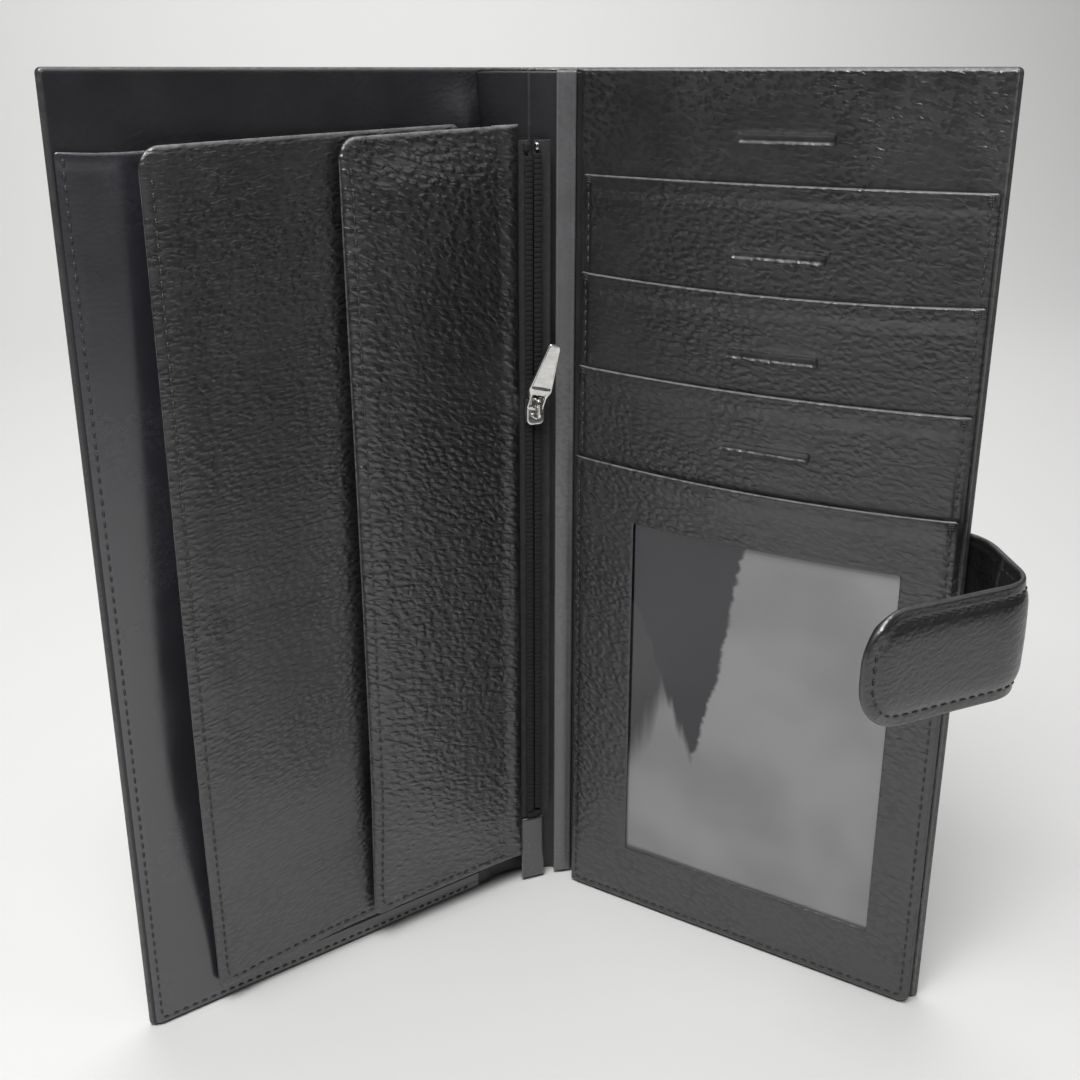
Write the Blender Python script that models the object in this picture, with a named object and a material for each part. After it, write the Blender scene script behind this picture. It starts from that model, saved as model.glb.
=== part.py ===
# Leather travel document cover: two stiffened panels on a soft spine, with slip pockets,
# a zip pouch and a strap. Lengths are millimetres and angles degrees; MM makes metres of them.
# World axes: +X along the spine's width to the reader's right, +Y away from the reader, +Z up.
import math

import bmesh
import bpy
from mathutils import Vector

MM = 0.001

# Cover
HEIGHT = 225.0
PANEL_WIDTH = 105.2
COVER_CORNER = 2.0
COVER_LEATHER = 1.0
BOARD = 0.6
BOARD_MARGIN = 6.0
LINING = 0.5
LINING_MARGIN = 0.7
PLY_GAP = 0.25
FOLD_CLEARANCE = 0.3
SPINE_BULGE = 2.6

# Pose of the panels, measured from the spine's plane
LEFT_FOLD = 26.5
RIGHT_FOLD = 44.2

# Pockets of both panels
POCKET_LEATHER = 0.6
POCKET_FOOT = 0.8
SEAM_MARGIN = 0.6

# Left pockets
SLIP_DROP = 15.7
POUCH_LINING = 0.4
POUCH_ROOM = 0.8
TICKET_REACH = 88.0
TICKET_FOOT = 5.2
TICKET_DROP = 15.0
NOTE_ROOM = 1.8
NOTE_REACH = 43.8
NOTE_FOOT = 9.2
NOTE_DROP = 16.0
FLAP_CORNER = 4.5
STACK_SETBACK = 6.5

# Right pockets
FIRST_DROP = 24.5
MOUTH_STEP = 23.5
STEPPED_POCKETS = 3
POCKET_SETBACK = 3.6
WINDOW_LEFT = 21.6
WINDOW_WIDTH = 70.4
WINDOW_FOOT = 18.0
WINDOW_HEIGHT = 97.3
WINDOW_CORNER = 1.5
FILM = 0.2
FILM_LAP = 4.0

# Zip
ZIP_SLANT = 12.0
ZIP_RISE = 3.0
ZIP_FOOT = 21.0
ZIP_DROP = 16.5
ZIP_CLEARANCE = 0.25
ZIP_SIDE_ROOM = 1.0
TAPE = 0.4
TAPE_WIDTH = 4.6
TOOTH_ROW = 1.0
TOOTH = 0.75
TOOTH_DEPTH = 1.4
TOOTH_PITCH = 2.5
STOP_LENGTH = 2.2
TAB_LEATHER = 0.8
TAB_WIDTH = 7.0
STRIP_LEATHER = 0.8
STRIP_WIDTH = 5.0
GUSSET_LEATHER = 0.7
GUSSET_BEND = 1.6

# Slider and pull
SLIDER_HEIGHT = 142.0
SLIDER_LENGTH = 7.6
SLIDER_PLATE = 0.8
SLIDER_LIP = 0.6
SLIDER_POST = 0.4
BRIDGE_ROOM = 2.0
BRIDGE_BAR = 0.9
BRIDGE_SPAN = 4.0
BRIDGE_WIDTH = 1.0
BRIDGE_SHIFT = 0.8
PULL_LENGTH = 17.5
PULL_WIDTH = 4.4
PULL_SHOULDER = 5.5
PULL_TIP_WIDTH = 3.0
PULL_PLATE = 1.0
PULL_BAR = 1.0
PULL_EYE_LENGTH = 3.5
PULL_EYE_WIDTH = 2.4
METAL_EDGE = 0.15
PULL_TILT = 12.0
PULL_LEAN = 7.0

# Strap, its magnet and the keeper plate in the left panel
STRAP_WIDTH = 26.0
STRAP_LEATHER = 0.9
STRAP_CORE = 1.2
STRAP_CORE_MARGIN = 2.5
STRAP_LINING = 0.7
STRAP_SEAM = 24.0
STRAP_HINGE_OUT = 2.2
STRAP_TIP = 43.0
STRAP_CORNER = 11.0
STRAP_FOLD = 55.0
STRAP_CURL = 66.0
STRAP_CLEARANCE = 0.3
MAGNET_REACH = 26.0
MAGNET_RADIUS = 6.5
KEEPER_RADIUS = 7.5

# Four corners left sharp
SQUARE = (0, 0, 0, 0)

# Facets of a rounded corner, of the spine's arc and of a disc
CORNER_STEPS = 5
SPINE_STEPS = 10
DISC_STEPS = 32

# Plies of a panel, as distances from the hinge axis towards the reader
LEATHER_FACE = COVER_LEATHER / 2
BOARD_BACK = LEATHER_FACE + PLY_GAP
LINING_BACK = BOARD_BACK + BOARD + PLY_GAP
POCKET_BACK = LINING_BACK + LINING + PLY_GAP
POCKET_PITCH = POCKET_LEATHER + PLY_GAP
POUCH_BACK = POCKET_BACK + POCKET_PITCH
TICKET_BACK = POUCH_BACK + POUCH_LINING + POUCH_ROOM
NOTE_BACK = TICKET_BACK + POCKET_LEATHER + NOTE_ROOM
LEFT_STACK = NOTE_BACK + POCKET_LEATHER
FILM_BACK = POCKET_BACK + STEPPED_POCKETS * POCKET_PITCH
WINDOW_BACK = FILM_BACK + FILM + PLY_GAP
RIGHT_STACK = WINDOW_BACK + POCKET_LEATHER

# Zip section, across the rows and out from the tape's back
TEETH_BACK = TAPE + ZIP_CLEARANCE
TEETH_FACE = TEETH_BACK + TOOTH_DEPTH
TOOTH_TIP = SLIDER_POST / 2 + ZIP_CLEARANCE
ROW_OUTSIDE = TOOTH_TIP + TOOTH + TOOTH_ROW
TAPE_INSIDE = TOOTH_TIP + ZIP_CLEARANCE
LIP_INSIDE = ROW_OUTSIDE + ZIP_CLEARANCE
SLIDER_HALF = LIP_INSIDE + SLIDER_LIP
SLIDER_FACE = TEETH_FACE + ZIP_CLEARANCE + SLIDER_PLATE
PULL_PIN = SLIDER_FACE + BRIDGE_ROOM / 2

# Room across the closed cover: left stack, zip runner with its leaning pull, right stack
SLANT = math.radians(ZIP_SLANT)
PULL_OUT = PULL_PIN + PULL_LENGTH * math.sin(math.radians(PULL_TILT))
PULL_SIDE = PULL_LENGTH * math.sin(math.radians(PULL_LEAN)) + PULL_TIP_WIDTH / 2
ZIP_LEFT = SLIDER_HALF
ZIP_RIGHT = max(SLIDER_HALF, PULL_OUT * math.sin(SLANT) + PULL_SIDE)
ZIP_ACROSS = LEFT_STACK + ZIP_SIDE_ROOM + ZIP_LEFT
SPINE_WIDTH = ZIP_ACROSS + ZIP_RIGHT + ZIP_SIDE_ROOM + RIGHT_STACK

# Strap section, from its reader's side when fastened, and its two bends
STRAP_THICKNESS = STRAP_LEATHER + STRAP_CORE + STRAP_LINING + 2 * PLY_GAP
STRAP_HALF = STRAP_THICKNESS / 2
STRAP_OFFSET = LEATHER_FACE + PLY_GAP + STRAP_HALF
BEND_GAP = STRAP_HALF + FOLD_CLEARANCE
STRAP_SIDE = STRAP_OFFSET + SPINE_WIDTH + LEATHER_FACE + STRAP_CLEARANCE + STRAP_HALF
STRAP_FOOT = (HEIGHT - STRAP_WIDTH) / 2
KEEPER_ACROSS = PANEL_WIDTH + STRAP_HINGE_OUT - MAGNET_REACH


def clear_scene():
    for item in list(bpy.data.objects):
        bpy.data.objects.remove(item, do_unlink=True)


def surface(name, colour, roughness, metallic=0.0, alpha=1.0):
    made = bpy.data.materials.new(name)
    made.use_nodes = True
    shader = made.node_tree.nodes["Principled BSDF"]
    shader.inputs["Base Color"].default_value = (*colour, 1.0)
    shader.inputs["Roughness"].default_value = roughness
    shader.inputs["Metallic"].default_value = metallic
    shader.inputs["Alpha"].default_value = alpha
    return made


def empty(name, parent, location=(0, 0, 0), turn=(0, 0, 0)):
    made = bpy.data.objects.new(name, None)
    bpy.context.collection.objects.link(made)
    made.parent = parent
    made.location = Vector(location) * MM
    made.rotation_euler = [math.radians(angle) for angle in turn]
    return made


def node(name, mesh, parent, material):
    bmesh.ops.remove_doubles(mesh, verts=mesh.verts, dist=1e-7)
    bmesh.ops.recalc_face_normals(mesh, faces=mesh.faces)
    data = bpy.data.meshes.new(name)
    mesh.to_mesh(data)
    mesh.free()
    data.materials.append(material)
    made = bpy.data.objects.new(name, data)
    bpy.context.collection.objects.link(made)
    made.parent = parent
    return made


def swept(points, travel):
    # A closed prism: the outline's face, pushed along the travel.
    mesh = bmesh.new()
    base = mesh.faces.new([mesh.verts.new(Vector(point) * MM) for point in points])
    pushed = bmesh.ops.extrude_face_region(mesh, geom=[base], use_keep_orig=True)["geom"]
    moved = [item for item in pushed if isinstance(item, bmesh.types.BMVert)]
    bmesh.ops.translate(mesh, verts=moved, vec=Vector(travel) * MM)
    return mesh


def rounded(low_x, high_x, low_z, high_z, radii):
    # Corners in turn: low x low z, high x low z, high x high z, low x high z.
    corners = ((low_x, low_z, 1, 1), (high_x, low_z, -1, 1), (high_x, high_z, -1, -1), (low_x, high_z, 1, -1))
    points = []
    for quarter, ((x, z, to_x, to_z), radius) in enumerate(zip(corners, radii)):
        steps = CORNER_STEPS if radius else 0
        for step in range(steps + 1):
            turn = math.radians(180 + 90 * quarter + 90 * step / max(steps, 1))
            points.append((x + radius * (to_x + math.cos(turn)), z + radius * (to_z + math.sin(turn))))
    return points


def sheet(name, outline, back, face, inward, parent, material):
    # A flat ply in a panel's own frame; inward is the sign of local Y that faces the reader.
    points = [(x, inward * back, z) for x, z in outline]
    return node(name, swept(points, (0, inward * (face - back), 0)), parent, material)


def column(name, profile, low_z, high_z, parent, material):
    # A plan-view profile pushed straight up.
    points = [(x, y, low_z) for x, y in profile]
    return node(name, swept(points, (0, 0, high_z - low_z)), parent, material)


def block(name, low, high, parent, material):
    profile = ((low[0], low[1]), (high[0], low[1]), (high[0], high[1]), (low[0], high[1]))
    return column(name, profile, low[2], high[2], parent, material)


def disc(name, across, back, face, radius, inward, parent, material):
    # A round plate at mid height, lying in the plies.
    turns = [2 * math.pi * step / DISC_STEPS for step in range(DISC_STEPS)]
    outline = [(across + radius * math.cos(turn), HEIGHT / 2 + radius * math.sin(turn)) for turn in turns]
    return sheet(name, outline, back, face, inward, parent, material)


def combine(target, operand, operation):
    change = target.modifiers.new(operation.title(), "BOOLEAN")
    change.operation = operation
    change.solver = "EXACT"
    change.object = operand
    operand.hide_render = True
    operand.hide_viewport = False
    operand.display_type = "WIRE"


def soften(target):
    bevel = target.modifiers.new("Bevel", "BEVEL")
    bevel.width = METAL_EDGE * MM
    bevel.segments = 1
    bevel.limit_method = "ANGLE"


def spine_point(across, inset):
    # The spine bulges away from the reader as a circular arc through both hinge axes.
    radius = (SPINE_WIDTH ** 2 / 4 + SPINE_BULGE ** 2) / (2 * SPINE_BULGE)
    turn = math.asin(across / radius)
    reach = radius - inset
    return reach * math.sin(turn), reach * math.cos(turn) - (radius - SPINE_BULGE)


def spine_ply(name, back, face, end_gap, low_z, high_z, parent, material):
    half = SPINE_WIDTH / 2 - end_gap
    stations = [half * (2 * step / SPINE_STEPS - 1) for step in range(SPINE_STEPS + 1)]
    outside = [spine_point(x, back) for x in stations]
    inside = [spine_point(x, face) for x in reversed(stations)]
    return column(name, outside + inside, low_z, high_z, parent, material)


def ribbon(path, thickness):
    # A strip of even thickness that follows a plan-view path, mitred at its bends.
    sides = ([], [])
    for i, point in enumerate(path):
        here = Vector(point)
        before = (here - Vector(path[i - 1])).normalized() if i else None
        after = (Vector(path[i + 1]) - here).normalized() if i + 1 < len(path) else None
        along = ((before or after) + (after or before)).normalized()
        across = Vector((-along.y, along.x))
        lean = across.dot(Vector((-(after or before).y, (after or before).x)))
        step = across * (thickness / 2 / lean)
        sides[0].append(tuple(here + step))
        sides[1].append(tuple(here - step))
    return sides[0] + sides[1][::-1]


def build_panel_cover(side, inward, crease, looks):
    leather_start = LEATHER_FACE + FOLD_CLEARANCE
    outline = rounded(leather_start, PANEL_WIDTH, 0, HEIGHT, (0, COVER_CORNER, COVER_CORNER, 0))
    sheet(side + "_cover_leather", outline, -LEATHER_FACE, LEATHER_FACE, inward, crease, looks["leather"])
    outline = rounded(BOARD_MARGIN, PANEL_WIDTH - BOARD_MARGIN, BOARD_MARGIN, HEIGHT - BOARD_MARGIN, SQUARE)
    board = sheet(side + "_board", outline, BOARD_BACK, BOARD_BACK + BOARD, inward, crease, looks["card"])
    lining_start = LINING_BACK + LINING + FOLD_CLEARANCE
    outline = rounded(lining_start, PANEL_WIDTH - LINING_MARGIN, LINING_MARGIN, HEIGHT - LINING_MARGIN,
                      (0, COVER_CORNER, COVER_CORNER, 0))
    sheet(side + "_lining", outline, LINING_BACK, LINING_BACK + LINING, inward, crease, looks["lining"])
    return board


def build_left(crease, looks):
    board = build_panel_cover("left", 1, crease, looks)
    cutter = disc("keeper_cutter", KEEPER_ACROSS, BOARD_BACK - PLY_GAP, BOARD_BACK + BOARD + PLY_GAP,
                  KEEPER_RADIUS + PLY_GAP, 1, crease, looks["steel"])
    combine(board, cutter, "DIFFERENCE")
    disc("keeper_plate", KEEPER_ACROSS, BOARD_BACK, BOARD_BACK + BOARD, KEEPER_RADIUS, 1, crease,
         looks["steel"])
    edge = PANEL_WIDTH - LINING_MARGIN - SEAM_MARGIN
    outline = rounded(STACK_SETBACK, edge, POCKET_FOOT, HEIGHT - SLIP_DROP, (0, COVER_CORNER, 0, 0))
    sheet("slip_pocket", outline, POCKET_BACK, POCKET_BACK + POCKET_LEATHER, 1, crease, looks["leather"])
    outline = rounded(STACK_SETBACK, TICKET_REACH - FLAP_CORNER, TICKET_FOOT + SEAM_MARGIN,
                      HEIGHT - TICKET_DROP - SEAM_MARGIN, SQUARE)
    sheet("zip_pouch_lining", outline, POUCH_BACK, POUCH_BACK + POUCH_LINING, 1, crease, looks["cloth"])
    outline = rounded(STACK_SETBACK, TICKET_REACH, TICKET_FOOT, HEIGHT - TICKET_DROP,
                      (0, FLAP_CORNER / 2, FLAP_CORNER, 0))
    sheet("ticket_pocket", outline, TICKET_BACK, TICKET_BACK + POCKET_LEATHER, 1, crease, looks["leather"])
    outline = rounded(STACK_SETBACK, NOTE_REACH, NOTE_FOOT, HEIGHT - NOTE_DROP,
                      (0, FLAP_CORNER / 2, FLAP_CORNER, 0))
    sheet("note_pocket", outline, NOTE_BACK, LEFT_STACK, 1, crease, looks["leather"])


def build_right(crease, looks):
    build_panel_cover("right", -1, crease, looks)
    edge = PANEL_WIDTH - LINING_MARGIN - SEAM_MARGIN
    for step in range(STEPPED_POCKETS):
        outline = rounded(POCKET_SETBACK, edge, POCKET_FOOT, HEIGHT - FIRST_DROP - step * MOUTH_STEP,
                          (0, COVER_CORNER, 0, 0))
        back = POCKET_BACK + step * POCKET_PITCH
        sheet(f"document_pocket_{step + 1}", outline, back, back + POCKET_LEATHER, -1, crease,
              looks["leather"])
    mouth = HEIGHT - FIRST_DROP - STEPPED_POCKETS * MOUTH_STEP
    outline = rounded(POCKET_SETBACK, edge, POCKET_FOOT, mouth, (0, COVER_CORNER, 0, 0))
    pocket = sheet("window_pocket", outline, WINDOW_BACK, RIGHT_STACK, -1, crease, looks["leather"])
    right = WINDOW_LEFT + WINDOW_WIDTH
    top = WINDOW_FOOT + WINDOW_HEIGHT
    outline = rounded(WINDOW_LEFT, right, WINDOW_FOOT, top, (WINDOW_CORNER,) * 4)
    cutter = sheet("window_cutter", outline, WINDOW_BACK - PLY_GAP, RIGHT_STACK + PLY_GAP, -1, crease,
                   looks["leather"])
    combine(pocket, cutter, "DIFFERENCE")
    outline = rounded(WINDOW_LEFT - FILM_LAP, right + FILM_LAP, WINDOW_FOOT - FILM_LAP, top + FILM_LAP, SQUARE)
    sheet("window_film", outline, FILM_BACK, FILM_BACK + FILM, -1, crease, looks["film"])
    hinge = PANEL_WIDTH + STRAP_HINGE_OUT
    outline = rounded(PANEL_WIDTH - STRAP_SEAM, hinge - BEND_GAP, STRAP_FOOT, STRAP_FOOT + STRAP_WIDTH,
                      (COVER_CORNER, 0, 0, COVER_CORNER))
    sheet("strap_root", outline, -STRAP_OFFSET - STRAP_HALF, -STRAP_OFFSET + STRAP_HALF, -1, crease,
          looks["leather"])


def build_strap(crease, looks):
    hinge = PANEL_WIDTH + STRAP_HINGE_OUT
    fold = empty("strap_fold_axis", crease, (hinge, STRAP_OFFSET, 0), (0, 0, -STRAP_FOLD))
    curl = empty("strap_curl_axis", fold, (STRAP_SIDE, 0, 0), (0, 0, -STRAP_CURL))
    top = STRAP_FOOT + STRAP_WIDTH
    core_back = -STRAP_HALF + STRAP_LEATHER + PLY_GAP
    lining_back = STRAP_HALF - STRAP_LINING
    plies = (("outer", -STRAP_HALF, STRAP_LEATHER, looks["leather"], 0.0),
             ("core", core_back, STRAP_CORE, looks["card"], STRAP_CORE_MARGIN),
             ("lining", lining_back, STRAP_LINING, looks["lining"], SEAM_MARGIN))
    made = {}
    for ply, back, thickness, look, inset in plies:
        outline = rounded(BEND_GAP, STRAP_SIDE - BEND_GAP, STRAP_FOOT + inset, top - inset, SQUARE)
        sheet("strap_side_" + ply, outline, back, back + thickness, -1, fold, look)
        corner = STRAP_CORNER - inset
        outline = rounded(BEND_GAP, STRAP_TIP - inset, STRAP_FOOT + inset, top - inset, (0, corner, corner, 0))
        made[ply] = sheet("strap_tip_" + ply, outline, back, back + thickness, -1, curl, look)
    cutter = disc("magnet_cutter", MAGNET_REACH, core_back - PLY_GAP, core_back + STRAP_CORE + PLY_GAP,
                  MAGNET_RADIUS + PLY_GAP, -1, curl, looks["steel"])
    combine(made["core"], cutter, "DIFFERENCE")
    disc("strap_magnet", MAGNET_REACH, core_back, core_back + STRAP_CORE, MAGNET_RADIUS, -1, curl,
         looks["steel"])


def tooth_row(side, first, last):
    # The comb of one row: a straight back, and teeth every pitch, set half a pitch apart on the two rows.
    points = [(side * ROW_OUTSIDE, last), (side * ROW_OUTSIDE, first)]
    root = TOOTH_TIP + TOOTH
    low = first + TOOTH_PITCH / 4 * (2 if side > 0 else 1)
    while low + TOOTH_PITCH / 2 < last:
        points += [(side * root, low), (side * TOOTH_TIP, low + TOOTH_PITCH / 8),
                   (side * TOOTH_TIP, low + TOOTH_PITCH * 3 / 8), (side * root, low + TOOTH_PITCH / 2)]
        low += TOOTH_PITCH
    points[2:2] = [(side * root, first)]
    points.append((side * root, last))
    return points


def build_zip(zip_frame, looks):
    top = HEIGHT - ZIP_DROP
    tape_edge = TAPE_INSIDE + TAPE_WIDTH
    for side, word in ((-1, "left"), (1, "right")):
        inner = side * TAPE_INSIDE
        outer = side * tape_edge
        block("zip_tape_" + word, (min(inner, outer), -TAPE, ZIP_FOOT), (max(inner, outer), 0, top),
              zip_frame, looks["cloth"])
        outline = tooth_row(side, ZIP_FOOT + STOP_LENGTH + ZIP_CLEARANCE, top - STOP_LENGTH - ZIP_CLEARANCE)
        sheet("zip_teeth_" + word, outline, TEETH_BACK, TEETH_FACE, -1, zip_frame, looks["teeth"])
    for word, low in (("bottom", ZIP_FOOT), ("top", top - STOP_LENGTH)):
        block(f"zip_{word}_stop", (-ROW_OUTSIDE, -TEETH_FACE, low),
              (ROW_OUTSIDE, -TEETH_BACK, low + STOP_LENGTH), zip_frame, looks["nickel"])
    outline = rounded(-TAB_WIDTH / 2, TAB_WIDTH / 2, POCKET_FOOT, ZIP_FOOT - PLY_GAP, SQUARE)
    sheet("zip_end_tab", outline, 0, TAB_LEATHER, -1, zip_frame, looks["lining"])


def build_runner(zip_frame, looks):
    axis = empty("slider_axis", zip_frame, (0, 0, SLIDER_HEIGHT))
    plate_back = -ZIP_CLEARANCE - SLIDER_PLATE
    plate_half = SLIDER_HALF - ZIP_CLEARANCE
    post = SLIDER_POST / 2
    lip = TAPE + ZIP_CLEARANCE
    roof = SLIDER_FACE - SLIDER_PLATE
    half = [(0, plate_back), (plate_half, plate_back), (plate_half, -ZIP_CLEARANCE), (post, -ZIP_CLEARANCE),
            (post, roof), (LIP_INSIDE, roof), (LIP_INSIDE, lip), (SLIDER_HALF, lip),
            (SLIDER_HALF, SLIDER_FACE), (0, SLIDER_FACE)]
    profile = [(x, -out) for x, out in half[1:-1]] + [(-x, -out) for x, out in reversed(half[1:-1])]
    low = -SLIDER_LENGTH / 2
    slider = column("zip_slider", profile, low, low + SLIDER_LENGTH, axis, looks["nickel"])
    inside = BRIDGE_SPAN / 2
    outside = inside + BRIDGE_BAR
    crown = SLIDER_FACE + BRIDGE_ROOM
    foot = SLIDER_FACE - SLIDER_PLATE / 2
    arch = [(-outside, foot), (-inside, foot), (-inside, crown), (inside, crown), (inside, foot),
            (outside, foot), (outside, crown + BRIDGE_BAR), (-outside, crown + BRIDGE_BAR)]
    points = [(-BRIDGE_WIDTH / 2, -out, z + BRIDGE_SHIFT) for z, out in arch]
    bridge = node("bridge_form", swept(points, (BRIDGE_WIDTH, 0, 0)), axis, looks["nickel"])
    combine(slider, bridge, "UNION")
    soften(slider)
    pin = empty("pull_pin", axis, (0, -PULL_PIN, BRIDGE_SHIFT), (PULL_TILT, PULL_LEAN, 0))
    bar = PULL_BAR / 2
    eye_end = rounded(-PULL_WIDTH / 2, PULL_WIDTH / 2, -bar, PULL_SHOULDER, (bar, bar, 0, 0))
    tip_end = rounded(-PULL_TIP_WIDTH / 2, PULL_TIP_WIDTH / 2, PULL_SHOULDER, PULL_LENGTH,
                      (0, 0, PULL_BAR, PULL_BAR))
    outline = eye_end[:-1] + tip_end[2:] + eye_end[-1:]
    pull = sheet("zip_pull", outline, -PULL_PLATE / 2, PULL_PLATE / 2, -1, pin, looks["nickel"])
    outline = rounded(-PULL_EYE_WIDTH / 2, PULL_EYE_WIDTH / 2, bar, bar + PULL_EYE_LENGTH, (0, 0, bar, bar))
    cutter = sheet("pull_eye_cutter", outline, -PULL_PLATE, PULL_PLATE, -1, pin, looks["nickel"])
    combine(pull, cutter, "DIFFERENCE")
    soften(pull)


def build_spine(root, zip_frame, looks):
    leather_gap = LEATHER_FACE + FOLD_CLEARANCE
    spine_ply("spine_leather", -LEATHER_FACE, LEATHER_FACE, leather_gap, 0, HEIGHT, root, looks["leather"])
    lining_back = LEATHER_FACE + PLY_GAP
    spine_ply("spine_lining", lining_back, lining_back + LINING, leather_gap + LINING, LINING_MARGIN,
              HEIGHT - LINING_MARGIN, root, looks["lining"])
    # The welt laps over the right tape's edge, on the reader's side of it.
    tape_edge = TAPE_INSIDE + TAPE_WIDTH
    start = ZIP_ACROSS + tape_edge * math.cos(SLANT) - SPINE_WIDTH / 2 + PLY_GAP
    back = ZIP_RISE - tape_edge * math.sin(SLANT) - STRIP_LEATHER / 2
    block("spine_strip", (start, -back - STRIP_LEATHER, POCKET_FOOT),
          (start + STRIP_WIDTH, -back, HEIGHT - LINING_MARGIN), root, looks["lining"])
    # The gusset leaves the front pocket's edge, comes round and ends beside the left tape.
    fold = math.radians(LEFT_FOLD)
    middle = (NOTE_BACK + LEFT_STACK) / 2
    reach = STACK_SETBACK - PLY_GAP
    from_x = -SPINE_WIDTH / 2 - reach * math.cos(fold) + middle * math.sin(fold)
    from_y = -reach * math.sin(fold) - middle * math.cos(fold)
    to_x = ZIP_ACROSS - SPINE_WIDTH / 2 - tape_edge * math.cos(SLANT) - PLY_GAP - GUSSET_LEATHER / 2
    to_y = -ZIP_RISE - tape_edge * math.sin(SLANT)
    path = [(from_x, from_y), (to_x - GUSSET_BEND, from_y), (to_x, from_y + GUSSET_BEND), (to_x, to_y)]
    column("zip_gusset", ribbon(path, GUSSET_LEATHER), NOTE_FOOT, HEIGHT - NOTE_DROP, root, looks["leather"])


def settle(root):
    # The origin goes under the middle of the whole object, on the surface it stands on.
    bpy.context.view_layer.update()
    corners = [item.matrix_world @ Vector(corner) for item in bpy.data.objects
               if item.type == "MESH" and not item.hide_render for corner in item.bound_box]
    low = [min(corner[axis] for corner in corners) for axis in range(3)]
    high = [max(corner[axis] for corner in corners) for axis in range(3)]
    root.location = (-(low[0] + high[0]) / 2, -(low[1] + high[1]) / 2, -low[2])
    bpy.context.view_layer.update()


def main():
    clear_scene()
    looks = {
        "leather": surface("black_leather", (0.022, 0.022, 0.024), 0.42),
        "lining": surface("smooth_leather", (0.035, 0.036, 0.040), 0.38),
        "card": surface("stiffener_card", (0.300, 0.260, 0.200), 0.85),
        "cloth": surface("black_cloth", (0.012, 0.012, 0.013), 0.90),
        "teeth": surface("zip_teeth", (0.015, 0.015, 0.016), 0.45),
        "steel": surface("plain_steel", (0.450, 0.450, 0.460), 0.40, 1.0),
        "nickel": surface("bright_nickel", (0.780, 0.780, 0.760), 0.18, 1.0),
        "film": surface("clear_film", (0.300, 0.310, 0.320), 0.08, 0.0, 0.35),
    }
    root = empty("cover_frame", None)
    left_crease = empty("left_fold_axis", root, (-SPINE_WIDTH / 2, 0, 0), (0, 0, 180 + LEFT_FOLD))
    right_crease = empty("right_fold_axis", root, (SPINE_WIDTH / 2, 0, 0), (0, 0, -RIGHT_FOLD))
    zip_frame = empty("zip_line", root, (ZIP_ACROSS - SPINE_WIDTH / 2, -ZIP_RISE, 0), (0, 0, ZIP_SLANT))
    build_spine(root, zip_frame, looks)
    build_zip(zip_frame, looks)
    build_runner(zip_frame, looks)
    build_left(left_crease, looks)
    build_right(right_crease, looks)
    build_strap(right_crease, looks)
    settle(root)
    print(f"spine width {SPINE_WIDTH:.2f} mm, closed strap side {STRAP_SIDE:.2f} mm")


main()
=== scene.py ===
import functools
import math

import bpy
import numpy as np
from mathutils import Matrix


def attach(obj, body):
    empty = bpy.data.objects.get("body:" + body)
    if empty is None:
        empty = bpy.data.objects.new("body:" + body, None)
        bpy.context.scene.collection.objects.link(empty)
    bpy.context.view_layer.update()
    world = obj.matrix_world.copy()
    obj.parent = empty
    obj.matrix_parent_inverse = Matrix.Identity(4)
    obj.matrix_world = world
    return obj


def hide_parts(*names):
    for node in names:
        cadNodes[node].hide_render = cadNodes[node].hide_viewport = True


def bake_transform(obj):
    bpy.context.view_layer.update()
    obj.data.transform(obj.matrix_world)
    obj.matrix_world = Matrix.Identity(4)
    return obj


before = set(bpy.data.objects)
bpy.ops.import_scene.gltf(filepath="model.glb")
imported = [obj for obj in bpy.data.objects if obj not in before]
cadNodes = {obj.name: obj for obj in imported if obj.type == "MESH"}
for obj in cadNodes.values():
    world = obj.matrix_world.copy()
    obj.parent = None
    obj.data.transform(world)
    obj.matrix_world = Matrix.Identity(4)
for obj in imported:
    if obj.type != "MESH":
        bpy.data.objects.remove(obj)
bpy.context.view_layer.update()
mm = 0.001
print("frame in:", len(cadNodes), "nodes")


# Plan of the cover
plan = {
    "middle": (7.192, 55.380),  # middle of the spine, seen from above
    "spineWidth": 23.642,
    "spineBulge": 2.6,
    "panelWidth": 105.2,
    "height": 225.0,
    "leftFold": 26.5,
    "rightFold": 44.2,
    "creaseSoftness": 3.0,
    "zipOrigin": (6.821, 52.380),
    "zipSlant": 12.0,
}
midHeight = plan["height"] / 2


def smooth(low, high, value):
    # Smoothstep: 0 below low, 1 above high, an S between.
    t = np.clip((value - low) / (high - low), 0, 1)
    return t * t * (3 - 2 * t)


def bell(value, centre, width):
    return np.exp(-(((value - centre) / width) ** 2))


def unit(v):
    return v / np.linalg.norm(v, axis=-1, keepdims=True)


def least(*values):
    return functools.reduce(np.minimum, values)


def squared(wave, power):
    # A sine or cosine with its swings made squarer.
    return np.sign(wave) * np.abs(wave) ** power


def ripple(u, z, seed, span, count=6):
    # Soft unevenness: the mean of plane waves about span long, with seeded headings and phases.
    dice = np.random.default_rng(seed)
    heading = dice.uniform(0, 2 * np.pi, count)
    length = span * dice.uniform(0.7, 1.7, count)
    phase = dice.uniform(0, 2 * np.pi, count)
    waves = [np.sin(2 * np.pi * (u * math.cos(a) + z * math.sin(a)) / b + c)
             for a, b, c in zip(heading, length, phase)]
    return sum(waves) / count


def parabola(start, corner, end, steps):
    t = np.linspace(0, 1, steps)[:, None]
    return (1 - t) ** 2 * start + 2 * t * (1 - t) * corner + t ** 2 * end


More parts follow.
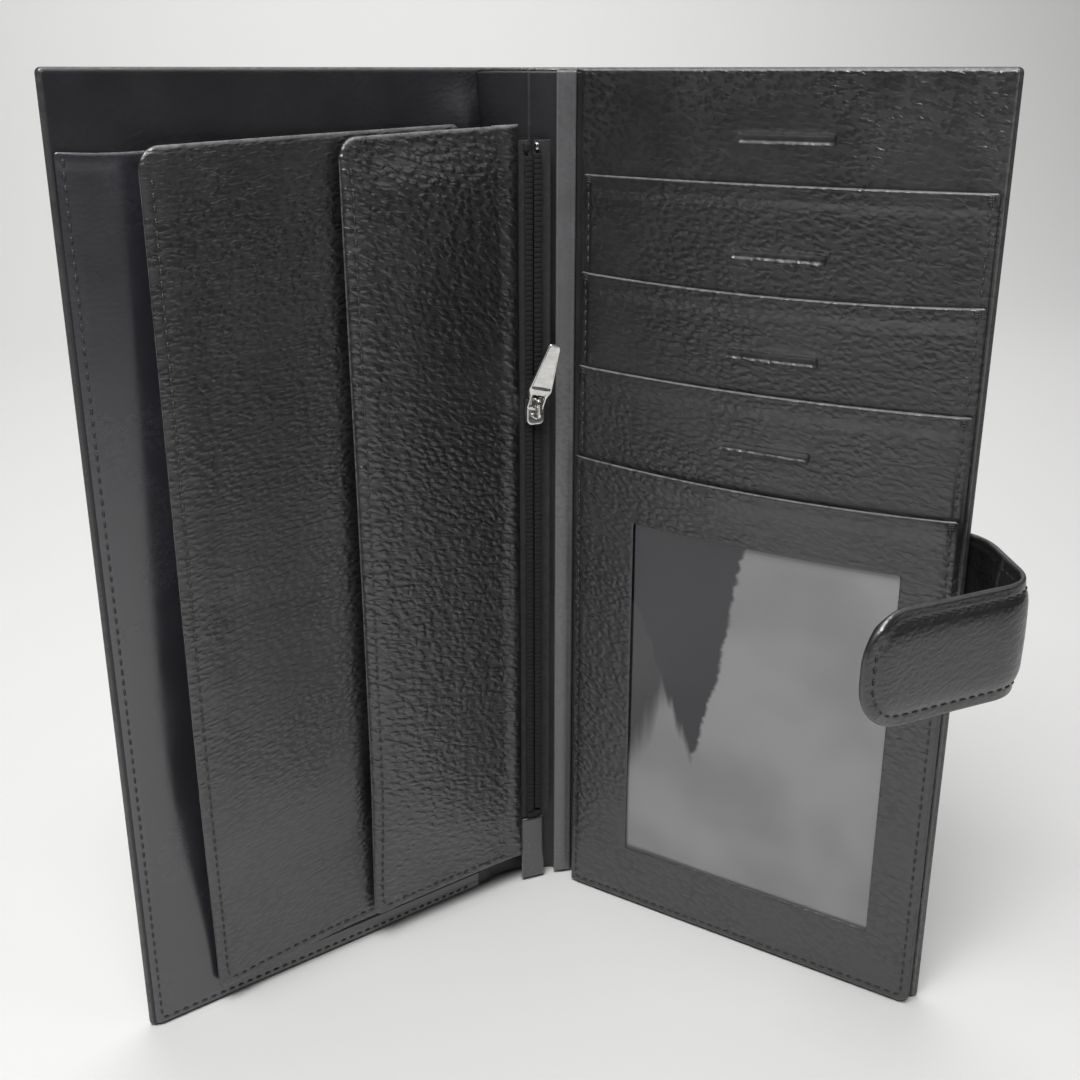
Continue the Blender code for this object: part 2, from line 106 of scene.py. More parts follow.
def softLine(corners, radii, steps):
    # A line through corners, each rounded by a parabola that starts its radius away.
    corners = [np.array(c, float) for c in corners]
    pieces = [corners[0][None]]
    for before, here, after, soft in zip(corners, corners[1:], corners[2:], radii):
        start, end = (here + unit(way - here) * soft for way in (before, after))
        pieces.append(parabola(start, here, end, steps))
    return np.concatenate([*pieces, corners[-1][None]])


def seamLine(corners, soft=0.0):
    return softLine(corners, [soft] * len(corners), 16)


def lengthsAlong(line):
    return np.concatenate([[0], np.cumsum(np.linalg.norm(np.diff(line, axis=0), axis=1))])


def carried(station, line, side):
    # Frame carried along a plan line: u runs along it and n is the offset to the chosen side.
    tangent = unit(np.gradient(line, station, axis=0))
    normal = side * np.stack([tangent[:, 1], -tangent[:, 0]], 1)

    def place(u, n, z):
        x, y = (np.interp(u, station, line[:, k]) + n * np.interp(u, station, normal[:, k]) for k in (0, 1))
        return np.stack([x, y, z + 0 * x], -1)

    return place


def coverPlace(side, fold):
    # Plan line from the spine's middle to the free edge: a circular arc, a parabola that softens the
    # crease, then the straight panel. u is the distance from the crease and n the offset to the reader.
    half = plan["spineWidth"] / 2
    bulge = plan["spineBulge"]
    soft = plan["creaseSoftness"]
    radius = (half ** 2 + bulge ** 2) / (2 * bulge)
    widest = math.asin(half / radius)
    turn = np.linspace(0, widest - soft / radius, 40)
    arc = np.stack([radius * np.sin(turn), radius * np.cos(turn) - (radius - bulge)], 1)
    crease = np.array([half, 0.0])
    along = np.array([math.cos(math.radians(fold)), -math.sin(math.radians(fold))])
    bend = parabola(arc[-1], crease, crease + soft * along, 24)
    reach = np.linspace(soft, plan["panelWidth"] + 6, 50)[:, None]
    line = np.concatenate([arc, bend[1:], crease + reach[1:] * along])
    station = np.concatenate([radius * (turn - widest), np.linspace(-soft, soft, 24)[1:], reach[1:, 0]])
    return carried(station, np.array(plan["middle"]) + np.array([side, 1]) * line, side), station[0]


def linePlace(corners, radii, side):
    # Frame along a line with rounded corners, and the line's length.
    line = softLine(corners, radii, 30)
    station = lengthsAlong(line)
    fine = np.linspace(0, station[-1], 1200)
    line = np.stack([np.interp(fine, station, line[:, k]) for k in (0, 1)], 1)
    return carried(fine, line, side), fine[-1]


def flatPlace(origin, degrees):
    # Straight frame turned by degrees in plan: u to the reader's right, n to the reader.
    c = math.cos(math.radians(degrees))
    s = math.sin(math.radians(degrees))
    return lambda u, n, z: np.stack([origin[0] + u * c + n * s, origin[1] + u * s - n * c, z + 0 * u], -1)


def shifted(place, sag, slide=None):
    # The same frame with every point lowered by sag(u, z) and moved across by slide(u, z).
    return lambda u, n, z: place(u + (slide(u, z) if slide else 0), n, z - sag(u, z))


def spot(place, u, n=0.0, z=0.0):
    return place(np.array(u), np.array(n), np.array(z))


leftPlace, spineEdge = coverPlace(-1, plan["leftFold"])
rightPlace, _ = coverPlace(1, plan["rightFold"])
spinePlace = flatPlace(plan["middle"], 0.0)
zipPlace = flatPlace(plan["zipOrigin"], plan["zipSlant"])


# Mesh making
def addObject(name, data):
    made = bpy.data.objects.new(name, data)
    bpy.context.scene.collection.objects.link(made)
    return made


def newMesh(name, points, quads, look):
    mesh = bpy.data.meshes.new(name)
    mesh.from_pydata(points.reshape(-1, 3).tolist(), [], quads.tolist())
    mesh.polygons.foreach_set("use_smooth", np.ones(len(quads), dtype=bool))
    mesh.materials.append(look)
    return mesh


def makePiece(name, points, quads, uv, edge, look, sharp=50):
    # Faces are turned outwards by the sign of the volume. leafMap counts in units of 100 mm, and
    # wearAndHighlightDistance is how far a point is from a rim with the pale band: rubbed wear on some hides,
    # painted highlight on others.
    points = points.reshape(-1, 3)
    a, b, c, d = (points[quads[:, k]] for k in range(4))
    volume = sum(np.einsum("ij,ij->i", a, np.cross(p, q)).sum() for p, q in ((b, c), (c, d)))
    if volume < 0:
        quads = quads[:, ::-1]
    mesh = newMesh(name, points * mm, quads, looks[look])
    layer = mesh.uv_layers.new(name="leafMap")
    layer.data.foreach_set("uv", (uv.reshape(-1, 2)[quads.ravel()] * 0.01).astype(np.float32).ravel())
    rim = mesh.attributes.new("wearAndHighlightDistance", "FLOAT", "POINT")
    rim.data.foreach_set("value", edge.astype(np.float32).ravel())
    mesh.set_sharp_from_angle(angle=math.radians(sharp))
    made = addObject(name, mesh)
    return made


def fit(piece, body, *nodes):
    # Fixes a piece to one body, in place of these nodes.
    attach(piece, body)
    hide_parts(*nodes)


def gridQuads(ids):
    corners = [ids[..., :-1, :-1], ids[..., :-1, 1:], ids[..., 1:, 1:], ids[..., 1:, :-1]]
    return np.stack(corners, -1).reshape(-1, 4)


def fan(ids):
    # Quads that close rings with an even number of points.
    return [ids[..., [0, k, k + 1, k + 2]].reshape(-1, 4) for k in range(1, ids.shape[-1] - 2, 2)]


def tubes(name, place, u, n, z, uv, look, sharp=50):
    # Closed tubes from arrays of tube by ring by point, both ends of each shut.
    ids = np.arange(u.size).reshape(u.shape)
    body = gridQuads(np.concatenate([ids, ids[:, :, :1]], 2))
    quads = np.concatenate([body, *[q[:, ::-1] for q in fan(ids[:, 0])], *fan(ids[:, -1])])
    return makePiece(name, place(u, n, z), quads, uv, np.full(u.size, 9.0), look, sharp)


def stations(low, high, coarse):
    # Positions from low to high: close together at both ends for the rolled rims, wider between.
    fine = np.array([0, .05, .15, .3, .5, .75, 1.05, 1.4, 1.8, 2.1, 2.4, 2.7, 3.1, 3.7, 4.6, 6.0, 8.0])
    fine = fine[fine < (high - low) * 0.42]
    count = max(int(round((high - low - 2 * fine[-1]) / coarse)), 2)
    middle = np.linspace(low + fine[-1], high - fine[-1], count + 1)[1:-1]
    return np.concatenate([low + fine, middle, (high - fine)[::-1]])


def boxCorners(box):
    # Corners of a box and the way in from each: low-low, high-low, high-high, low-high.
    u0, u1, z0, z1 = box
    return (u0, z0, 1, 1), (u1, z0, -1, 1), (u1, z1, -1, -1), (u0, z1, 1, -1)


def rimDistance(u, z, box, radii):
    # Distance inwards from a rectangle with rounded corners.
    u0, u1, z0, z1 = box
    reach = least(u - u0, u1 - u, z - z0, z1 - z)
    for (cu, cz, su, sz), r in zip(boxCorners(box), radii):
        du = r - su * (u - cu)
        dz = r - sz * (z - cz)
        reach = np.where((du > 0) & (dz > 0), r - np.hypot(du, dz), reach)
    return np.maximum(reach, 0)


def holeDistance(u, z, box):
    # Distance outwards from a rectangle.
    u0, u1, z0, z1 = box
    return np.hypot(u - np.clip(u, u0, u1), z - np.clip(z, z0, z1))


def opened(box, gone, far=1e3):
    # The box with the sides marked in gone (left, right, foot, head) moved out of reach.
    return tuple(edge + far * sign * k for edge, sign, k in zip(box, (-1, 1, -1, 1), gone))


# plain rules pressed into the right-hand bands
pressedRule = {"across": (44.3, 67.3), "half": 0.95, "soft": 0.42, "depth": 0.42,
               "levels": (210.05, 184.65, 162.45, 139.80)}


def ruleStations(level):
    # Extra columns and rows across the soft sides of a rule pressed at this level.
    step = np.array([-1.0, -0.4, 0.4, 1.0]) * pressedRule["soft"]
    columns = [end + step for end in pressedRule["across"]]
    rows = [level + side * pressedRule["half"] + step for side in (-1, 1)]
    return np.concatenate(columns), np.concatenate(rows)


def ruleDepth(u, z, level):
    # A flat-bottomed dent with S-shaped sides.
    half, soft = pressedRule["half"], pressedRule["soft"]
    left, right = pressedRule["across"]
    tall = smooth(half + soft, half - soft, np.abs(z - level))
    wide = smooth(left - soft, left + soft, u) * smooth(right + soft, right - soft, u)
    return pressedRule["depth"] * tall * wide


def sheetGrid(box, radii, coarse, caps, extra):
    # Rows go up and columns across; corner arcs narrow the rows. A capped end gets its column twice.
    u0, u1, z0, z1 = box
    columns = np.union1d(stations(u0, u1, coarse), extra[0])
    rows = np.union1d(stations(z0, z1, coarse), extra[1])
    columns = np.concatenate([[u0] * caps[0], columns, [u1] * caps[1]])

    def tuck(corner, sign, r):
        rise = np.clip(r - sign * (rows - corner), 0, None)
        return r - np.sqrt(np.clip(r * r - rise * rise, 0, None))

    low = u0 + tuck(z0, 1, radii[0]) + tuck(z1, -1, radii[3])
    high = u1 - tuck(z0, 1, radii[1]) - tuck(z1, -1, radii[2])
    share = (columns - u0) / (u1 - u0)
    u = low[:, None] * (1 - share) + high[:, None] * share
    return u, np.repeat(rows[:, None], len(columns), 1)


def roll(reach, width):
    # Quarter-ellipse drop: 1 at the rim, 0 from width inwards.
    return 1 - np.sqrt(1 - (1 - np.clip(reach / width, 0, 1)) ** 2)


def closeSheet(name, front, back, flat, wornAndLit, free, look, wrap=False):
    # Joins a face and a back over one grid. They share their rim; free marks points with their own back.
    ids = np.arange(wornAndLit.size).reshape(wornAndLit.shape)
    backIds = ids.copy()
    backIds[free] = wornAndLit.size + np.arange(free.sum())
    if wrap:
        ids, backIds = (np.concatenate([k, k[:1]]) for k in (ids, backIds))
    points = np.concatenate([front.reshape(-1, 3), back[free]])
    quads = np.concatenate([gridQuads(ids), gridQuads(backIds)[:, ::-1]])
    uv = np.concatenate([flat.reshape(-1, 2), flat[free]])
    return makePiece(name, points, quads, uv, np.concatenate([wornAndLit.ravel(), wornAndLit[free]]), look)


# what a leaf has unless its own dictionary says otherwise; rub weights how soon each side's rim takes
# the pale band (rubbed wear on covers, facings and strap, a painted highlight on pocket folds), and seam
# says which sides are sewn, both as left, right, foot, head
leafUsual = {"corners": (0, 0, 0, 0), "coarse": 4.0, "split": 0.65, "roll": 0.8, "backRoll": 0.35,
             "seam": None, "groove": 0.14, "grooveWidth": 0.55, "wearAndHighlightWeights": (1, 1, 1, 1), "rule": None}


def leafFace(shape, u, z, form):
    # Height of a leaf's reader side before its rim is rolled, and its thickness.
    base, thick = (shape[key](u, z) if callable(shape[key]) else shape[key] for key in ("back", "thickness"))
    return base + (form(u, z) if form else 0) + thick, thick + 0 * u


def leaf(name, place, shape, look, form=None, caps=(False, False)):
    # A closed sheet of leather: a face and a back over the same grid that meet along a rolled rim,
    # with a shallow groove where a seam runs. form(u, z) lifts it.
    shape = {**leafUsual, **shape}
    box = (*shape["across"], *shape["up"])
    radii, level, split = shape["corners"], shape["rule"], shape["split"]
    u, z = sheetGrid(box, radii, shape["coarse"], caps, ruleStations(level) if level else ((), ()))
    reach = rimDistance(u, z, opened(box, (*caps, 0, 0)), radii)
    for column, cap in zip((0, -1), caps):
        reach[:, column] *= not cap
    face, thick = leafFace(shape, u, z, form)
    if level:
        face = face - ruleDepth(u, z, level)
    if shape["seam"]:
        line = rimDistance(u, z, opened(box, [1 - k for k in shape["seam"]]), radii)
        face = face - shape["groove"] * bell(line, shape["inset"], shape["grooveWidth"])
    front = place(u, face - split * thick * roll(reach, shape["roll"]), z)
    back = place(u, face - thick + (1 - split) * thick * roll(reach, shape["backRoll"]), z)
    gaps = (u - box[0], box[1] - u, z - box[2], box[3] - z)
    wornAndLit = np.min([gap / max(k, 1e-3) for gap, k in zip(gaps, shape["wearAndHighlightWeights"])], axis=0)
    free = np.zeros(u.shape, bool)
    free[1:-1, 1:-1] = True
    return closeSheet(name, front, back, np.stack([u, z], -1), wornAndLit, free, look)


def leaves(*rows):
    # Leaves that each ride one body, from rows of name, frame, shape, look, slot, form, body and node.
    for name, place, shape, look, slot, form, body, node in rows:
        fit(leaf(name, place, shape, look, form), body, node)


def ring(name, place, inner, outer, spread, front, back, reach, look):
    # A closed sheet with a hole: rays run from the hole's loop to the outer loop at the shares in spread.
    u, z = (inner[:, k, None] * (1 - spread) + outer[:, k, None] * spread for k in (0, 1))
    away = reach(u, z)
    away[:, [0, -1]] = 0
    free = np.zeros(u.shape, bool)
    free[:, 1:-1] = True
    return closeSheet(name, place(u, front(u, z, away), z), place(u, back(u, z, away), z),
                      np.stack([u, z], -1), outer[:, 1].max() - z, free, look, wrap=True)


def roundLoop(box, radii, sideSteps, cornerSteps=7):
    # Loop round a rectangle with rounded corners, counter-clockwise from its low-low corner's arc.
    arcs = []
    for quarter, ((cu, cz, su, sz), r) in enumerate(zip(boxCorners(box), radii)):
        turn = np.radians(180 + 90 * quarter + np.linspace(0, 90, cornerSteps))
        arcs.append(np.stack([cu + r * (su + np.cos(turn)), cz + r * (sz + np.sin(turn))], 1))
    pieces = []
    for k, arc in enumerate(arcs):
        t = np.linspace(0, 1, sideSteps[k] + 2)[1:-1, None]
        pieces += [arc, arc[-1] * (1 - t) + arcs[(k + 1) % 4][0] * t]
    return np.concatenate(pieces)


thread = {"pitch": 2.5, "length": 1.95, "width": 0.26, "height": 0.17, "bow": 0.17, "rings": 7, "around": 6}


def stitches(name, lines, place, height, outward=1, pitch=thread["pitch"], length=thread["length"]):
    # Bowed thread tubes set end to end along each line: an ellipse carried along the line, sunk at both
    # ends. height(u, z) is the leather's surface there, outward the side of it that shows.
    rings = thread["rings"]
    centres = []
    for line in lines:
        run = lengthsAlong(line)
        count = max(int(run[-1] / pitch), 1)
        middle = (np.arange(count) + 0.5) * run[-1] / count
        s = middle[:, None] + np.linspace(-0.5, 0.5, rings) * length
        centres.append(np.stack([np.interp(s, run, line[:, k]) for k in (0, 1)], -1))
    centre = np.concatenate(centres)
    heading = unit(np.gradient(centre, axis=1))
    t = np.linspace(-1, 1, rings)[None, :, None]
    girth = np.sqrt(np.clip(1 - 0.97 * np.abs(t) ** 3, 0, 1))
    rise = thread["bow"] * (1 - 1.5 * t ** 2)
    turn = np.linspace(0, 2 * np.pi, thread["around"], endpoint=False)
    sideways = thread["width"] * np.cos(turn) * girth
    u = centre[..., 0, None] - heading[..., 1, None] * sideways
    z = centre[..., 1, None] + heading[..., 0, None] * sideways
    level = height(centre[..., 0], centre[..., 1])[..., None]
    n = level + outward * (rise + thread["height"] * np.sin(turn) * girth)
    uv = 100 * np.stack([t * length / 2 + 0 * u, turn / (2 * np.pi) + 0 * u], -1)
    return tubes(name, place, u, n, z, uv, "thread", 70)


# Shader tools
class Nodes:
    # Short hand for one shader tree: most methods add a node and give back its main output.
    def __init__(self, tree):
        self.tree = tree

    def feed(self, socket, value):
        if isinstance(value, bpy.types.NodeSocket):
            self.tree.links.new(value, socket)
        else:
            socket.default_value = value

    def put(self, kind, settings=None, feeds=None):
        made = self.tree.nodes.new("ShaderNode" + kind)
        for key, value in (settings or {}).items():
            setattr(made, key, value)
        for key, value in (feeds or {}).items():
            self.feed(made.inputs[key], value)
        return made

    def calc(self, operation, a, b=0.5):
        return self.put("Math", {"operation": operation}, {0: a, 1: b}).outputs[0]

    add = functools.partialmethod(calc, "ADD")
    less = functools.partialmethod(calc, "SUBTRACT")
    times = functools.partialmethod(calc, "MULTIPLY")

    def vector(self, operation, *feeds):
        return self.put("VectorMath", {"operation": operation}, dict(enumerate(feeds))).outputs[0]

    def ramp(self, value, low, high, start=0.0, end=1.0):
        return self.put("MapRange", {"interpolation_type": "SMOOTHSTEP"}, {
            "Value": value, "From Min": low, "From Max": high, "To Min": start, "To Max": end}).outputs[0]

    def mix(self, share, a, b):
        made = self.put("Mix", {"data_type": "RGBA"})
        for key, value in ((0, share), (6, a), (7, b)):
            self.feed(made.inputs[key], (*value, 1.0) if isinstance(value, tuple) else value)
        return made.outputs[2]

    def noise(self, at, scale, detail=2.0, rough=0.5, bend=0.0, kind="2D", out=0):
        made = self.put("TexNoise", {"noise_dimensions": kind}, {
            "Vector": at, "Scale": scale, "Detail": detail, "Roughness": rough, "Distortion": bend})
        return made.outputs[out]

    def pebbles(self, at, scale, blur):
        return self.put("TexVoronoi", {"voronoi_dimensions": "2D", "feature": "SMOOTH_F1"},
                        {"Vector": at, "Scale": scale, "Smoothness": blur}).outputs["Distance"]

    def split(self, at):
        return self.put("SeparateXYZ", None, {0: at}).outputs[:2]

    def leafMap(self):
        return self.put("UVMap", {"uv_map": "leafMap"}).outputs[0]

    def inObject(self):
        return self.put("TexCoord").outputs["Object"]

    def group(self, name, at, feeds):
        return self.put("Group", {"node_tree": groups[name]}, {"Coordinates": at, **feeds}).outputs


class Look(Nodes):
    # A material; shade feeds its shader, dressed ends it with a colour and a relief depth mm high.
    def __init__(self, name, rough, metallic=0.0):
        self.made = bpy.data.materials.new(name)
        self.made.use_nodes = True
        super().__init__(self.made.node_tree)
        self.shade({"Roughness": rough, "Metallic": metallic})

    def shade(self, feeds):
        for key, value in feeds.items():
            self.feed(self.tree.nodes["Principled BSDF"].inputs[key], value)

    def dressed(self, colour, height, strength, depth):
        bump = self.put("Bump", None, {"Height": height, "Strength": strength, "Distance": depth * mm})
        self.shade({"Base Color": colour, "Normal": bump.outputs[0]})
        return self.made


def toned(tone, share):
    return tuple(share * value for value in tone)


def nodeGroup(name, inputs, outputs):
    # A group that takes coordinates and some numbers and gives numbers.
    tree = bpy.data.node_groups.new(name, "ShaderNodeTree")
    tree.interface.new_socket("Coordinates", in_out="INPUT", socket_type="NodeSocketVector")
    for way, labels in (("INPUT", inputs), ("OUTPUT", outputs)):
        for label in labels:
            tree.interface.new_socket(label, in_out=way, socket_type="NodeSocketFloat")
    return Nodes(tree), tree.nodes.new("NodeGroupInput").outputs, tree.nodes.new("NodeGroupOutput").inputs


grainInputs = ("Cells", "Flow", "Slant", "Wrinkle", "Patches")


def grainGroup():
    # Pebbled hide: soft warped domes with sunken seams, finer domes, long wrinkles and pores.
    n, given, out = nodeGroup("pebbleGrain", grainInputs, ("Height", "Seams"))
    x, y = n.split(given["Coordinates"])
    tall = n.times(n.add(y, n.times(x, given["Slant"])), given["Flow"])
    flat = n.put("CombineXYZ", None, {0: x, 1: tall}).outputs[0]
    wander = n.noise(flat, 22.0, detail=3.0, rough=0.6, out="Color")
    centred = n.vector("SUBTRACT", wander, (0.5, 0.5, 0.5))
    warped = n.vector("MULTIPLY_ADD", centred, (0.022, 0.022, 0.0), flat)
    big = n.pebbles(warped, given["Cells"], 0.45)
    small = n.pebbles(warped, n.times(given["Cells"], 2.1), 0.4)
    domes = n.add(n.times(n.ramp(big, 0.62, 0.08), 0.86), n.times(n.ramp(small, 0.62, 0.08), 0.14))
    patch = n.noise(given["Coordinates"], 3.6, detail=1.0)
    strength = n.less(1.0, n.times(n.ramp(patch, 0.40, 0.66), given["Patches"]))
    crease = n.noise(n.vector("MULTIPLY", warped, (14.0, 52.0, 1.0)), 1.0, detail=1.0, rough=0.45, bend=0.6)
    wrinkles = n.times(n.ramp(crease, 0.32, 0.68), given["Wrinkle"])
    pores = n.times(n.noise(flat, 420.0), 0.05)
    n.feed(out["Height"], n.add(n.add(n.times(domes, strength), wrinkles), pores))
    # Seams marks the sunken seams, used for painted shade and for roughness
    n.feed(out["Seams"], n.times(n.ramp(big, 0.36, 0.62), strength))
    return n.tree


def wearAndHighlightGroup():
    # A pale band along the rim, broken by fine scuffs: rubbed wear on some hides, a painted highlight on
    # pocket folds.
    n, given, out = nodeGroup("wearAndHighlightRim", ("Rim", "Width"), ("WearAndHighlight",))
    scuff = n.noise(given["Coordinates"], 38.0, detail=4.0, rough=0.65)
    band = n.less(1.0, n.ramp(n.calc("DIVIDE", given["Rim"], given["Width"]), 0.0, 1.0))
    n.feed(out["WearAndHighlight"], n.times(band, n.ramp(scuff, 0.25, 0.62, 0.35, 1.0)))
    return n.tree


def ruleGroup():
    # Where the right-hand bands are pressed flat: soft-edged boxes in the leaf's own map.
    n, given, out = nodeGroup("pressedRules", (), ("Mask",))
    x, y = n.split(given["Coordinates"])
    middle = sum(pressedRule["across"]) / 200
    across = n.ramp(n.calc("ABSOLUTE", n.less(x, middle)), 0.118, 0.107)
    gaps = [n.calc("ABSOLUTE", n.less(y, level / 100)) for level in pressedRule["levels"]]
    total, *others = [n.times(across, n.ramp(gap, 0.0130, 0.0045)) for gap in gaps]
    for box in others:
        total = n.add(total, box)
    n.feed(out["Mask"], total)
    return n.tree


def weaveGroup():
    # Plain weave: two crossed sine ribs, each lifted where the other dips. Its tone follows the height
    # with noise, darker in the dips as painted shade.
    n, given, out = nodeGroup("tapeWeave", ("Threads",), ("Height", "ShadeAndTone"))
    rate = n.times(given["Threads"], 2 * math.pi)
    warp, weft = (n.calc("SINE", n.times(way, rate)) for way in n.split(given["Coordinates"]))
    height = n.ramp(n.times(warp, weft), -1.0, 1.0)
    n.feed(out["Height"], height)
    n.feed(out["ShadeAndTone"], n.times(height, n.noise(given["Coordinates"], 60.0, detail=3.0)))
    return n.tree


def leather(name, tone, wornAndLit, pebbles, depth, rough, rim, rules=False, ior=1.92):
    # Dyed hide: painted shade darkens the sunken seams between pebbles; paler rims, rubbed wear on some
    # hides and a painted highlight on pocket folds; roughness that follows the grain.
    n = Look(name, rough)
    at = n.leafMap()
    edge = n.put("Attribute", {"attribute_name": "wearAndHighlightDistance"}).outputs["Fac"]
    grain = n.group("grain", at, dict(zip(grainInputs, pebbles)))
    wearAndHighlight = n.group("wearAndHighlight", at, {"Rim": edge, "Width": rim})["WearAndHighlight"]
    cloud = n.noise(at, 5.0, detail=3.0, rough=0.55)
    share = min(1.0, depth / 0.1)  # smooth hides get less painted seam shade and less seam roughness
    dyed = n.mix(n.ramp(cloud, 0.3, 0.7), tone, toned(tone, 1.35))
    # painted shade: the colour is darker in the grain's sunken seams
    seamed = n.mix(grain["Seams"], dyed, toned(tone, 1 - 0.25 * share))
    uneven = n.ramp(cloud, 0.25, 0.75, rough - 0.04, rough + 0.05)
    dulled = n.add(n.times(grain["Seams"], 0.14 * share), n.times(wearAndHighlight, 0.22))
    n.shade({"Roughness": n.add(uneven, dulled), "IOR": ior})
    height = n.times(grain["Height"], n.ramp(wearAndHighlight, 0.0, 1.0, 1.0, 0.15))
    if rules:
        height = n.times(height, n.ramp(n.group("rules", at, {})["Mask"], 0.0, 1.0, 1.0, 0.35))
    return n.dressed(n.mix(wearAndHighlight, seamed, wornAndLit), height, 1.0, depth)


def threadLook():
    # Two-ply thread: slanted ribs round each stitch, darker in the grooves between them as painted shade.
    n = Look("blackThread", 0.5)
    x, y = n.split(n.leafMap())
    rib = n.ramp(n.calc("SINE", n.add(n.times(x, 13.0), n.times(y, 2 * math.pi))), -1.0, 1.0)
    return n.dressed(n.mix(rib, (0.016, 0.016, 0.017), (0.046, 0.046, 0.049)), rib, 0.8, 0.08)


def clothLook(name, tone, threads):
    # Woven cloth with painted shade between its threads.
    n = Look(name, 0.85)
    weave = n.group("weave", n.leafMap(), {"Threads": threads})
    return n.dressed(n.mix(weave["ShadeAndTone"], toned(tone, 0.5), toned(tone, 2.6)), weave["Height"], 0.8, 0.12)


def metalLook(name, tone, rough, streak):
    # Plated metal: fine rubbing marks along one way, and faint clouding of the polish.
    n = Look(name, rough, 1.0)
    at = n.inObject()
    marks = n.noise(n.vector("MULTIPLY", at, streak), 1.0, detail=4.0, kind="3D")
    haze = n.noise(at, 420.0, kind="3D")
    n.shade({"Roughness": n.ramp(marks, 0.3, 0.7, rough * 0.75, rough * 1.5)})
    return n.dressed(n.mix(n.ramp(haze, 0.3, 0.75), tone, toned(tone, 0.82)), marks, 0.25, 0.02)


def speckLook(name, tone, rough, scale, depth):
    # Moulded plastic or pressed card: fine speckle in tone and height.
    n = Look(name, rough)
    speck = n.noise(n.inObject(), scale, detail=4.0, rough=0.6, kind="3D")
    n.shade({"Roughness": n.ramp(speck, 0.3, 0.7, rough - 0.08, rough + 0.08)})
    return n.dressed(n.mix(n.ramp(speck, 0.3, 0.7), toned(tone, 0.65), toned(tone, 1.3)), speck, 0.5, depth)


filmPatch = {  # the painted dark reflection patch, in units of 100 mm
    "head": 1.153, "bow": (0.08, 0.17), "rag": 0.040, "right": (0.516, 0.530), "wisp": 0.12,
    "footLean": 0.466, "foot": (0.630, 0.657), "veilLean": 0.405, "veil": (0.068, 0.002), "veilShare": 0.92,
    # haze is the milky grey, partly painted sheen; the last colour is the painted dark reflection
    "haze": ((0.195, 0.195, 0.197), (0.265, 0.265, 0.265)), "paintedReflection": (0.0085, 0.0090, 0.0135),
}


def filmLook():
    # Soft vinyl window: milky grey, part haze and part painted sheen, under a painted dark reflection.
    # That patch hangs from the head, with a ragged bowed right side, a pointed foot and a veil on the left.
    n = Look("windowVinyl", 0.14)
    at = n.leafMap()
    x, y = n.split(at)

    def wisps(across, up, detail):
        return n.less(n.noise(n.vector("MULTIPLY", at, (across, up, 1.0)), 1.0, detail=detail), 0.5)

    cloud = n.noise(at, 2.6)
    level = n.add(y, n.times(wisps(30.0, 3.2, 2.5), filmPatch["wisp"]))
    drop = n.less(filmPatch["head"], y)
    bow = n.add(n.times(drop, filmPatch["bow"][0]), n.times(n.times(drop, drop), filmPatch["bow"][1]))
    ragged = n.add(bow, n.times(wisps(9.0, 24.0, 3.0), filmPatch["rag"]))
    right = n.ramp(n.add(x, ragged), *filmPatch["right"], 1.0, 0.0)
    foot = n.ramp(n.add(x, n.times(level, filmPatch["footLean"])), *filmPatch["foot"])
    leaning = n.less(x, n.times(level, filmPatch["veilLean"]))
    veil = n.ramp(leaning, *filmPatch["veil"], 0.0, filmPatch["veilShare"])
    # mask of the painted dark reflection
    paintedReflection = n.times(right, n.calc("MAXIMUM", foot, veil))
    hazy = n.mix(n.ramp(cloud, 0.3, 0.7), *filmPatch["haze"])
    n.shade({"Roughness": n.ramp(cloud, 0.3, 0.7, 0.12, 0.22), "IOR": 1.52, "Coat Weight": 0.6,
             "Coat Roughness": 0.06})
    return n.dressed(n.mix(paintedReflection, hazy, filmPatch["paintedReflection"]), cloud, 0.5, 0.6)


groups = {"grain": grainGroup(), "wearAndHighlight": wearAndHighlightGroup(), "rules": ruleGroup(), "weave": weaveGroup()}
ink = (0.0085, 0.0085, 0.009)
# the blue-grey below is black leather lightened to stand in for its sheen, a painted reflection, on the slip
# strip and zip end tab
paintedSheenSlate = (0.027, 0.0268, 0.0325)
rubbed = (0.030, 0.030, 0.032)
# fold is a painted highlight along the folded rims of the note, ticket and slip pockets
fold = (0.13, 0.13, 0.13)
hides = {  # tone, rim tone, (pebbles, flow, slant, wrinkle, patches), depth, roughness, rim, rules, index
    "note": (ink, fold, (40, 1.5, 0.25, 0.30, 0.25), 0.215, 0.32, 0.7),
    "ticket": (ink, fold, (47, 1.8, 0.08, 0.34, 0.4), 0.115, 0.34, 0.7),
    # the band's grey rim tone is a painted highlight along its pocket mouths
    "band": (ink, (0.10, 0.10, 0.10), (46, 1.45, 0.12, 0.30, 0.6), 0.115, 0.36, 0.5, True),
    "cover": (ink, rubbed, (50, 1.3, 0.15, 0.30, 0.4), 0.12, 0.36, 0.7),
    "facing": ((0.010, 0.0102, 0.012), rubbed, (60, 1.4, 0.1, 0.30, 0.3), 0.028, 0.42, 0.5, False, 1.58),
    "slip": (paintedSheenSlate, fold, (60, 1.4, 0.1, 0.30, 0.3), 0.005, 0.23, 0.4),
    # the welt's pale grey, and its paler rim, stand in for its sheen: painted reflection
    "welt": ((0.082, 0.0825, 0.086), (0.11, 0.11, 0.115), (70, 1.5, 0.1, 0.30, 0.3), 0.02, 0.38, 0.5),
    "strap": (ink, rubbed, (72, 1.3, 0.2, 0.25, 0.4), 0.06, 0.30, 1.0),
}
looks = {key: leather(key + "Leather", *row) for key, row in hides.items()}
